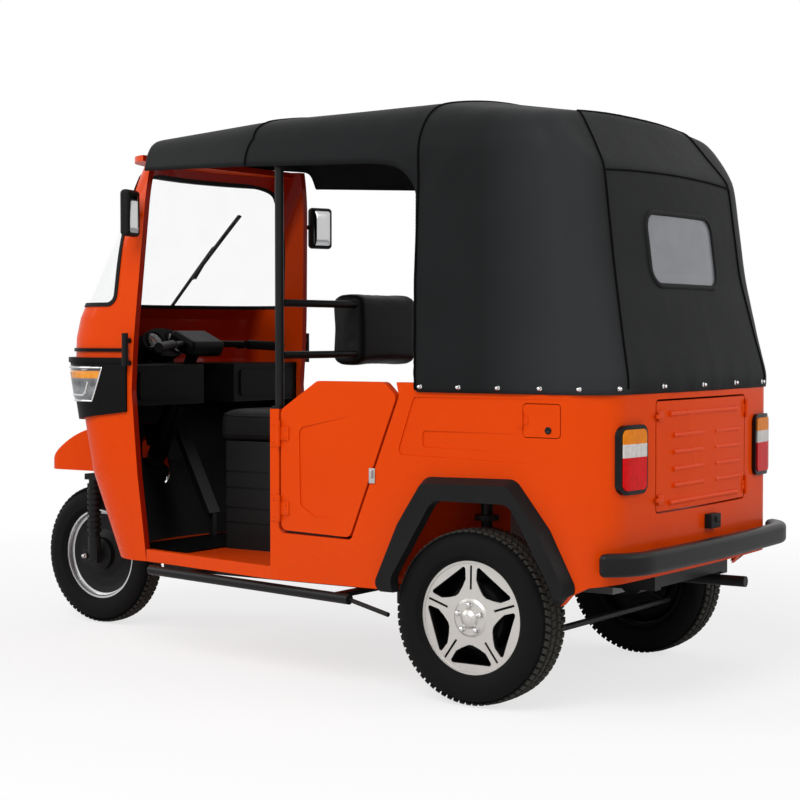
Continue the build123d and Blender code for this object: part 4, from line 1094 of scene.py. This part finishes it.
# %% Seam lines
sheet_tree = surface_tree(canopy.data)
MIDDLE, OUTSIDE, ASTRAY = drawn(150, 0, 1250), 3.0, 0.06


def along_line(points, step):
    """A line through drawn points, in steps of about the given length."""
    line = []
    for a, b in zip(points, points[1:]):
        count = max(1, round((b - a).length / step))
        line += [a.lerp(b, i / count) for i in range(count)]
    return line + [points[-1]]


def outer_face(spot):
    """The outside of the cloth beyond a drawn point, seen from the middle, and its outward direction."""
    outward = (spot - MIDDLE).normalized()
    hit, normal, _, _ = sheet_tree.ray_cast(MIDDLE + outward * OUTSIDE, -outward)
    if hit is None or (hit - spot).length > ASTRAY:
        hit, normal, _, _ = sheet_tree.find_nearest(spot)
    return hit, normal if normal.dot(outward) > 0 else -normal


def on_cloth(points, lift):
    laid = []
    for spot in along_line([drawn(*p) for p in points], 0.012):
        hit, normal = outer_face(spot)
        laid.append(hit + normal * lift)
    return laid


CORNER_SEAM = [(-215, 350, 1752), (-290, 395, 1668), (-364, 448, 1576), (-420, 470, 1276), (-476, 505, 925)]
CROSS_SEAM = [(-364, 448, 1576), (-366, 300, 1580), (-366, 0, 1582), (-366, -300, 1580), (-364, -448, 1576)]
TOP_SEAM = [(-215, 350, 1752), (-222, 0, 1762), (-215, -350, 1752)]
ENTRY_SEAM = [
    (183, 0, 1828), (183, 200, 1824), (183, 480, 1793), (180, 585, 1700),
    (178, 612, 1546), (188, 613, 1240), (188, 613, 925),
]
ROOF_SEAM = [(840, 0, 1818), (840, 300, 1804), (840, 500, 1772), (840, 585, 1720), (840, 601, 1625)]


def other_side(points):
    return [(x, -y, z) for x, y, z in points]


seam_paths = [CORNER_SEAM, other_side(CORNER_SEAM), CROSS_SEAM, TOP_SEAM]
seam_paths += [ENTRY_SEAM, other_side(ENTRY_SEAM), ROOF_SEAM, other_side(ROOF_SEAM)]
SEAM = grained("seam_cord", shine(0.03), 0.0012, 0.0028, 0.6, 900.0, 0.0003)
sweep("canopy_seams", [on_cloth(p, 0.0010) for p in seam_paths], 0.0034, SEAM, "vehicle")

# %% [markdown]
# Beside each cord runs a row of stitches. One small rounded stitch is set down along the lines with
# the same tree as the studs.

# %% Stitches
STITCH, STITCH_PITCH, STITCH_ASIDE, STITCH_LIFT = (0.0034, 0.0007, 0.0005), 0.0095, 0.009, 0.0003


def stitch_mesh():
    small = bmesh.new()
    bmesh.ops.create_uvsphere(small, u_segments=6, v_segments=4, radius=1.0)
    bmesh.ops.scale(small, vec=STITCH, verts=small.verts)
    return as_mesh("stitch", small)


def stitch_spots(points, aside):
    spots = []
    line = along_line([drawn(*p) for p in points], STITCH_PITCH)
    for a, b in zip(line, line[1:]):
        along = (b - a).normalized()
        hit, normal = outer_face(a)
        hit, normal = outer_face(hit + along.cross(normal) * aside)
        spots.append((hit + normal * STITCH_LIFT, normal, along))
    return spots


stitches = []
for seam in seam_paths:
    stitches += stitch_spots(seam, -STITCH_ASIDE) + stitch_spots(seam, STITCH_ASIDE)
THREAD = grained("sewing_thread", DULL, 0.020, 0.034, 0.7, 1200.0, 0.0002)
scatter("canopy_stitches", stitch_mesh(), stitches, THREAD, "vehicle")

# %% [markdown]
# The rear window is held by a soft rubber frame: a rounded band that follows the cut-out. Rings of
# points at growing distance from the edge give its low, high and low again, and each point is dropped
# back on to the leaning wall.

# %% Window frame
UP, LEFT, BACK = Vector((0, 0, 1)), Vector((0, 1, 0)), Vector((-1, 0, 0))
BESIDE, CROWN = 0.30, 12.0


def wall_x(y, z):
    """The rear wall's outer face, found from behind beside the window, with the wall's slight crown added."""
    hit = canopy_tree.ray_cast(Vector((row(-900), BESIDE, z)), -BACK)[0]
    return hit.x - (BESIDE ** 2 - y ** 2) / CROWN


FRAME_RINGS = [  # distance outwards from the cut-out, height over the wall
    (-0.004, 0.0003), (-0.0035, 0.0034), (-0.001, 0.0052), (0.005, 0.0056),
    (0.009, 0.0046), (0.0115, 0.0020), (0.012, -0.0006),
]
frame_points = []
for spare, rise in FRAME_RINGS:
    ring = round_rect(WINDOW_HALF + spare, WINDOW_LOW - spare, WINDOW_HIGH + spare, WINDOW_ROUND + spare, 10)
    frame_points += [(wall_x(y, z) - rise, y, z) for y, z in ring]
frame_faces = ring_faces(0, len(FRAME_RINGS), len(ring))
frame_band = mesh_of("frame_band", frame_points, frame_faces, BACK)
finished("rear_window_frame", frame_band, RUBBER, "vehicle")

# %% [markdown]
# Turned buttons fasten the hem to the body. Each is a small chromed stud with a domed head on a
# washer.

# %% Hem studs
STUD = lathe("hem_stud", [
    (0.0, -0.001), (0.0075, -0.001), (0.0075, 0.0012), (0.0045, 0.0022), (0.0040, 0.0050),
    (0.0056, 0.0062), (0.0056, 0.0088), (0.0030, 0.0108), (0.0, 0.0112),
], 12)
STUD_Z = 936
stud_spots = []
for x_mm in (167, 33, -101, -238, -365):
    for side in (1, -1):
        stud_spots.append((sheet_tree.find_nearest(drawn(x_mm, side * 620, STUD_Z))[0], side * LEFT, -BACK))
for y_mm in (545, 288, 25, -221, -470):
    facing = BACK if abs(y_mm) < 500 else Vector((-0.8, math.copysign(0.6, y_mm), 0))
    stud_spots.append((sheet_tree.find_nearest(drawn(-500, y_mm, STUD_Z))[0], facing, LEFT))
scatter("hem_studs", STUD, stud_spots, CHROME)

# %% [markdown]
# ## Small fittings
# A few pressed and turned bits finish the outside: screws in the hinges, nuts on the wheels, mirror
# glasses, a lock on the fuel flap, latches on the doors and the hatch, and a small lamp box at the
# rear. Turned ones come from the lathe helper, and cast ones from boxes whose edges are rounded with
# a bevel, since no real casting has a knife edge.

# %% Screws and nuts
SCREW = lathe("screw_head", [
    (0.0, -0.001), (0.0046, -0.001), (0.0046, 0.0006), (0.0036, 0.0019),
    (0.0014, 0.0025), (0.0012, 0.0014), (0.0, 0.0014),
], 10)
NUT = lathe("wheel_nut", [
    (0.0, -0.004), (0.0098, -0.004), (0.0098, 0.0008), (0.0084, 0.0016),
    (0.0084, 0.0090), (0.0058, 0.0130), (0.0, 0.0145),
], 6)
DOORS = ((1, "left_door"), (-1, "right_door"))
REAR_WHEELS = ((1, "rear_wheel_left"), (-1, "rear_wheel_right"))
DOOR_AXIS, DOOR_FACE, DOOR_HINGES = 696, 609, (548, 782)
LEAF, LEAF_SCREWS, POST_SCREWS = 24, 11, 27
HATCH_FACE, HATCH_HINGES = -462.4, (612, 856)
NUTS, NUT_RING, NUT_OUT = 5, 0.041, 0.0585
PLATE_IN, AXLE_END = 0.030, 112.5


def screws(name, x_mm, y_mm, heights, apart, facing, body):
    """Two screws at each hinge, a distance above and below its middle."""
    spots = [(drawn(x_mm, y_mm, z + s * apart), facing, UP) for z in heights for s in (-1, 1)]
    scatter(name, SCREW, spots, PAINT, body)


for side, body in DOORS:
    out = side * LEFT
    screws(body + "_hinge_screws", DOOR_AXIS - LEAF, side * DOOR_FACE, DOOR_HINGES, LEAF_SCREWS, out, body)
    screws(body + "_post_screws", DOOR_AXIS + LEAF, side * DOOR_FACE, DOOR_HINGES, POST_SCREWS, out, "vehicle")
screws("hatch_post_screws", HATCH_FACE, -336, HATCH_HINGES, 17, BACK, "vehicle")
screws("hatch_hinge_screws", HATCH_FACE, -302, HATCH_HINGES, 7, BACK, "hatch")
PLATE = lathe("brake_plate", [
    (0.090, -0.002), (0.156, -0.002), (0.156, 0.002), (0.150, 0.005), (0.120, 0.009), (0.090, 0.009),
], 48, hollow=True)
for side, body in REAR_WHEELS:
    spots = []
    for k in range(NUTS):
        turn = math.radians(90 + 360 / NUTS * k)
        radial = Vector((math.cos(turn), 0, math.sin(turn)))
        hub_face = Vector((REAR_AXLE_X, side * (TRACK_HALF + NUT_OUT), HUB_Z))
        spots.append((hub_face + radial * NUT_RING, side * LEFT, radial))
    scatter(body + "_nuts", NUT, spots, CHROME, body)
for side, body in REAR_WHEELS:
    plate_spot = Vector((REAR_AXLE_X, side * (TRACK_HALF - PLATE_IN), HUB_Z))
    scatter(body + "_brake_plate", PLATE, [(plate_spot, side * LEFT, UP)], SHADE_DARK_SATIN, body)
axle_spots = [(drawn(WHEELBASE * 1000, s * AXLE_END, HUB_Z * 1000), s * LEFT, UP) for s in (-1, 1)]
scatter("front_axle_nuts", NUT, axle_spots, STEEL, "steering")

# %% [markdown]
# A rubber bellows closes the opening round the steering stem. It is turned too, and leans with the
# stem.

# %% Stem boot
RAKE = math.radians(25.0)
STEM_LEAN = Vector((-math.sin(RAKE), 0.0, math.cos(RAKE)))
bellows = [(0.064 if k % 2 == 0 else 0.057, 0.006 + 0.0085 * k) for k in range(11)]
boot_profile = [(0.040, 0.0), (0.054, 0.0)] + bellows + [(0.054, 0.098), (0.040, 0.098)]
BOOT = lathe("boot_bellows", boot_profile, 32, hollow=True)
scatter("stem_boot", BOOT, [(drawn(1795.9, 0, 520), STEM_LEAN, LEFT)], RUBBER, "steering")

# %% [markdown]
# Latches and the lamp box are small castings: boxes set against each other, each with its edges
# rounded.

# %% Rounded castings
def casting(name, parts, round_by, finish, body):
    """Boxes joined as one casting. Each part is a middle and a size."""
    whole = bmesh.new()
    for middle, size in parts:
        one = bmesh.new()
        bmesh.ops.create_cube(one, size=1.0)
        bmesh.ops.scale(one, vec=size, verts=one.verts)
        bmesh.ops.bevel(one, geom=one.edges[:], offset=round_by, segments=3, profile=0.6, affect="EDGES")
        bmesh.ops.translate(one, vec=middle, verts=one.verts)
        whole.from_mesh(as_mesh(name + "_part", one))
    finished(name, as_mesh(name, whole), finish, body)


LATCH_ROUND, BOX_ROUND = 0.0022, 0.0028
for side, body in DOORS:
    plate = (drawn(345, side * 606.5, 664), (0.022, 0.005, 0.046))
    catch = (drawn(345, side * 611, 670), (0.010, 0.012, 0.026))
    casting(body + "_latch", [plate, catch], LATCH_ROUND, STEEL, body)
for z in HATCH_HINGES:
    hook = [(drawn(-464, 297, z - 4), (0.006, 0.034, 0.030)), (drawn(-467, 312, z - 4), (0.007, 0.040, 0.012))]
    casting("hatch_latch_" + str(z), hook, LATCH_ROUND, PAINT, "hatch")
box_parts = [(drawn(-478, -38, 521), (0.026, 0.070, 0.044)), (drawn(-493, -46, 526), (0.006, 0.030, 0.018))]
casting("rear_lamp_box", box_parts, BOX_ROUND, PLASTIC, "vehicle")
LOCK = lathe("lock_face", [
    (0.0, -0.001), (0.0105, -0.001), (0.0105, 0.002), (0.0090, 0.0032),
    (0.0040, 0.0032), (0.0034, 0.0020), (0.0, 0.0020),
], 16)
scatter("flap_lock", LOCK, [(drawn(-262, 605, 818), LEFT, UP)], GLOSS_BLACK, "flap")

# %% [markdown]
# The mirror glasses sit in the shallow recess of each case. A mirror is very slightly domed, so the
# plate has a raised middle.

# %% Mirror glasses
GLASS_RINGS = [(1.0, -0.0152), (0.98, -0.0160), (0.6, -0.0166), (0.25, -0.0169)]
GLASS_TOP, GLASS_TURN = -0.0170, 18.0
glass_points, glass_faces = [], []
edge = round_rect(0.039, -0.066, 0.066, 0.011)
for side in (1, -1):
    first, size = len(glass_points), len(edge)
    turn = Matrix.Rotation(math.radians(side * GLASS_TURN), 4, "Z")
    turn = Matrix.Translation(drawn(1380, side * 536, 1497)) @ turn
    for share, depth in GLASS_RINGS:
        glass_points += [turn @ Vector((depth, y * share, z * share)) for y, z in edge]
    top = len(glass_points)
    glass_points.append(turn @ Vector((GLASS_TOP, 0, 0)))
    glass_faces += [face[::-1] for face in ring_faces(first, len(GLASS_RINGS), size)]
    glass_faces += [(top - size + (i + 1) % size, top - size + i, top) for i in range(size)]
glass_mesh = raw_mesh("mirror_plates", glass_points, glass_faces)
finished("mirror_glasses", glass_mesh, MIRROR, "vehicle")

# %% [markdown]
# The lower half of the wiper blade hangs free of the arm, on the outside of the glass.

# %% Wiper blade end
blade_line = along_line([drawn(1662, -238, 1413), drawn(1694, -224, 1360), drawn(1726, -208, 1301)], 0.02)
sweep("wiper_blade_end", [blade_line], 0.0036, RUBBER, "vehicle")

# %% [markdown]
# ## Instruments
# Two round dials look back at the driver from the pod. A dial is a printed disc: ticks are a ring
# broken by the angle round the middle, and the needle is a thin wedge. The pod leans, so the pattern
# is worked out in its own plane from Object coordinates.

# %% Dials
POD = Vector((row(1715), 0.0, 1.052))
POD_OUT = Vector((-1.0, 0.0, 0.5)).normalized()
POD_UP = Vector((0.5, 0.0, 1.0)).normalized()
DIAL_APART, DIAL_LIFT = 0.054, 0.0248


def dial_face(wire):
    x, y, z = (axis_of(wire, k) for k in range(3))
    u = wire.maths("ABSOLUTE", y) - DIAL_APART
    v = (x - POD.x) * POD_UP.x + (z - POD.z) * POD_UP.z
    radius = wire.maths("SQRT", u * u + v * v)
    angle = wire.maths("ARCTAN2", v, u)
    ring = radius.step(0.029, 0.001) * (1 - radius.step(0.036, 0.001))
    ticks = wire.maths("COSINE", angle * 24.0).step(0.75, 0.1) * ring
    pointer = 1 - wire.maths("ABSOLUTE", u * 0.6 - v * 0.8).step(0.0011, 0.0006)
    needle = pointer * (1 - radius.step(0.030, 0.001)) * u.step(0.0, 0.002)
    cap = 1 - radius.step(0.006, 0.0006)
    colour = ticks.mix((0.010, 0.011, 0.013, 1.0), (0.75, 0.77, 0.78, 1.0))
    colour = needle.mix(colour, (0.80, 0.10, 0.02, 1.0))
    colour = cap.mix(colour, (0.03, 0.03, 0.03, 1.0))
    return {"Base Color": colour, "Roughness": 0.30 - ticks * 0.1 + noise(wire, 60.0) * 0.1}


DIAL = finish_of("dial_face", {"Coat Weight": 0.6, "Coat Roughness": 0.03}, dial_face)
DISC = lathe("dial_disc", [
    (0.0, -0.0004), (0.0396, -0.0004), (0.0396, 0.0004), (0.0385, 0.0008), (0.0, 0.0008),
], 40)
dial_spots = [(POD + POD_OUT * DIAL_LIFT + s * DIAL_APART * LEFT, POD_OUT, LEFT) for s in (-1, 1)]
scatter("dials", DISC, dial_spots, DIAL, "vehicle")

# %% [markdown]
# ## Headlamp covers
# Each headlamp sits behind a clear cover that wraps from the front round to the side, with a bright
# line along its edge and a second, U-shaped one inside. The cover is a grid of bearings and heights:
# each point is cast on to the lamp, smoothed so that it spans the small steps of the surface under
# it, and lifted a few millimetres. The bright lines are swept along the same grid.

# %% Headlamp covers
lamp_tree = cad_tree("headlamps", "lamp_panels", "nose_cowl")
LAMP_LOW, LAMP_HIGH = 0.862, 0.977
LAMP_FRONT, LAMP_REAR_LOW, LAMP_REAR_HIGH = 8.0, 68.3, 76.7
ROWS, COLUMNS = 12, 36
COVER_LIFT = (-0.0015, 0.0022, 0.0030)  # at the edge, one step in, further in
EDGE_LIFT, INNER_LIFT, LINE_RADIUS = 0.0004, 0.0030, 0.0036
U_LOW, U_TOP, U_FRONT, U_REAR = 2, 7, 5, 32


def lamp_distance(u, v):
    """How far the lamp's face lies from a point inside the nose, at a share round it and a share up it."""
    centre = Vector((row(1480), 0.20, LAMP_LOW + (LAMP_HIGH - LAMP_LOW) * v))
    bearing = math.radians(LAMP_FRONT + u * (LAMP_REAR_LOW + (LAMP_REAR_HIGH - LAMP_REAR_LOW) * v - LAMP_FRONT))
    outward = Vector((math.cos(bearing), math.sin(bearing), 0.0))
    hit = lamp_tree.ray_cast(centre + outward, -outward)[0]
    return centre, outward, (hit - centre).length


lamp_grid = [[lamp_distance(j / COLUMNS, i / ROWS) for j in range(COLUMNS + 1)] for i in range(ROWS + 1)]
reach = [[spot_of[2] for spot_of in line] for line in lamp_grid]
for _ in range(4):
    for i, line in enumerate(reach):
        for j in range(1, COLUMNS):
            line[j] = max(lamp_grid[i][j][2], (line[j - 1] + line[j] * 2 + line[j + 1]) / 4)


def lamp_point(i, j, lift, side):
    centre, outward, _ = lamp_grid[i][j]
    spot_on = centre + outward * (reach[i][j] + lift)
    return Vector((spot_on.x, spot_on.y * side, spot_on.z))


def cover_point(i, j, side):
    steps_in = min(i, ROWS - i, j, COLUMNS - j)
    return lamp_point(i, j, COVER_LIFT[min(steps_in, 2)], side)


outer = [(0, j) for j in range(COLUMNS + 1)] + [(i, COLUMNS) for i in range(1, ROWS + 1)]
outer += [(ROWS, j) for j in range(COLUMNS - 1, -1, -1)] + [(i, 0) for i in range(ROWS - 1, -1, -1)]
inner = [(i, U_FRONT) for i in range(U_TOP, U_LOW, -1)] + [(U_LOW, j) for j in range(U_FRONT, U_REAR)]
inner += [(i, U_REAR) for i in range(U_LOW + 1, U_TOP + 1)]
cover_points, cover_faces, bright_lines = [], [], []
for side in (1, -1):
    first = len(cover_points)
    cover_points += [cover_point(i, j, side) for i in range(ROWS + 1) for j in range(COLUMNS + 1)]
    for i in range(ROWS):
        for j in range(COLUMNS):
            a = first + i * (COLUMNS + 1) + j
            corners = (a, a + 1, a + COLUMNS + 2, a + COLUMNS + 1)
            cover_faces.append(corners if side > 0 else corners[::-1])
    bright_lines.append([lamp_point(i, j, EDGE_LIFT, side) for i, j in outer])
    bright_lines.append([lamp_point(i, j, INNER_LIFT, side) for i, j in inner])
cover_mesh = raw_mesh("cover_sheets", cover_points, cover_faces)
finished("headlamp_covers", cover_mesh, HEAD_LENS, "vehicle")
sweep("headlamp_bright_lines", bright_lines, LINE_RADIUS, CHROME, "vehicle")

# %% [markdown]
# ## Piping of the seats
# Seat covers are closed with a welt: a cord sewn into the seam round each edge. A rounded rectangle
# near the edge is dropped on to the stuffed pad, so the welt follows the swell.

# %% Seat piping
WELT_INSET, WELT_ROUND, WELT_STEP, WELT_RADIUS = 0.004, 0.05, 0.015, 0.0036


def welt(pad, height_share):
    low, high = Vector(pad.bound_box[0]), Vector(pad.bound_box[6])
    tree = surface_tree(pad.data)
    z = low.z + (high.z - low.z) * height_share
    half_x, half_y = (high.x - low.x) / 2 - WELT_INSET, (high.y - low.y) / 2 - WELT_INSET
    ring = round_rect(half_y, -half_x, half_x, WELT_ROUND, 6)
    middle = (low + high) / 2
    corners = [Vector((middle.x + b, middle.y + a, z)) for a, b in ring]
    return [tree.find_nearest(p)[0] for p in along_line(corners + corners[:1], WELT_STEP)]


welts = [welt(pad, share) for pad in (driver_pad, bench_pad) for share in (0.22, 0.80)]
sweep("seat_piping", welts, WELT_RADIUS, SEAT, "vehicle")
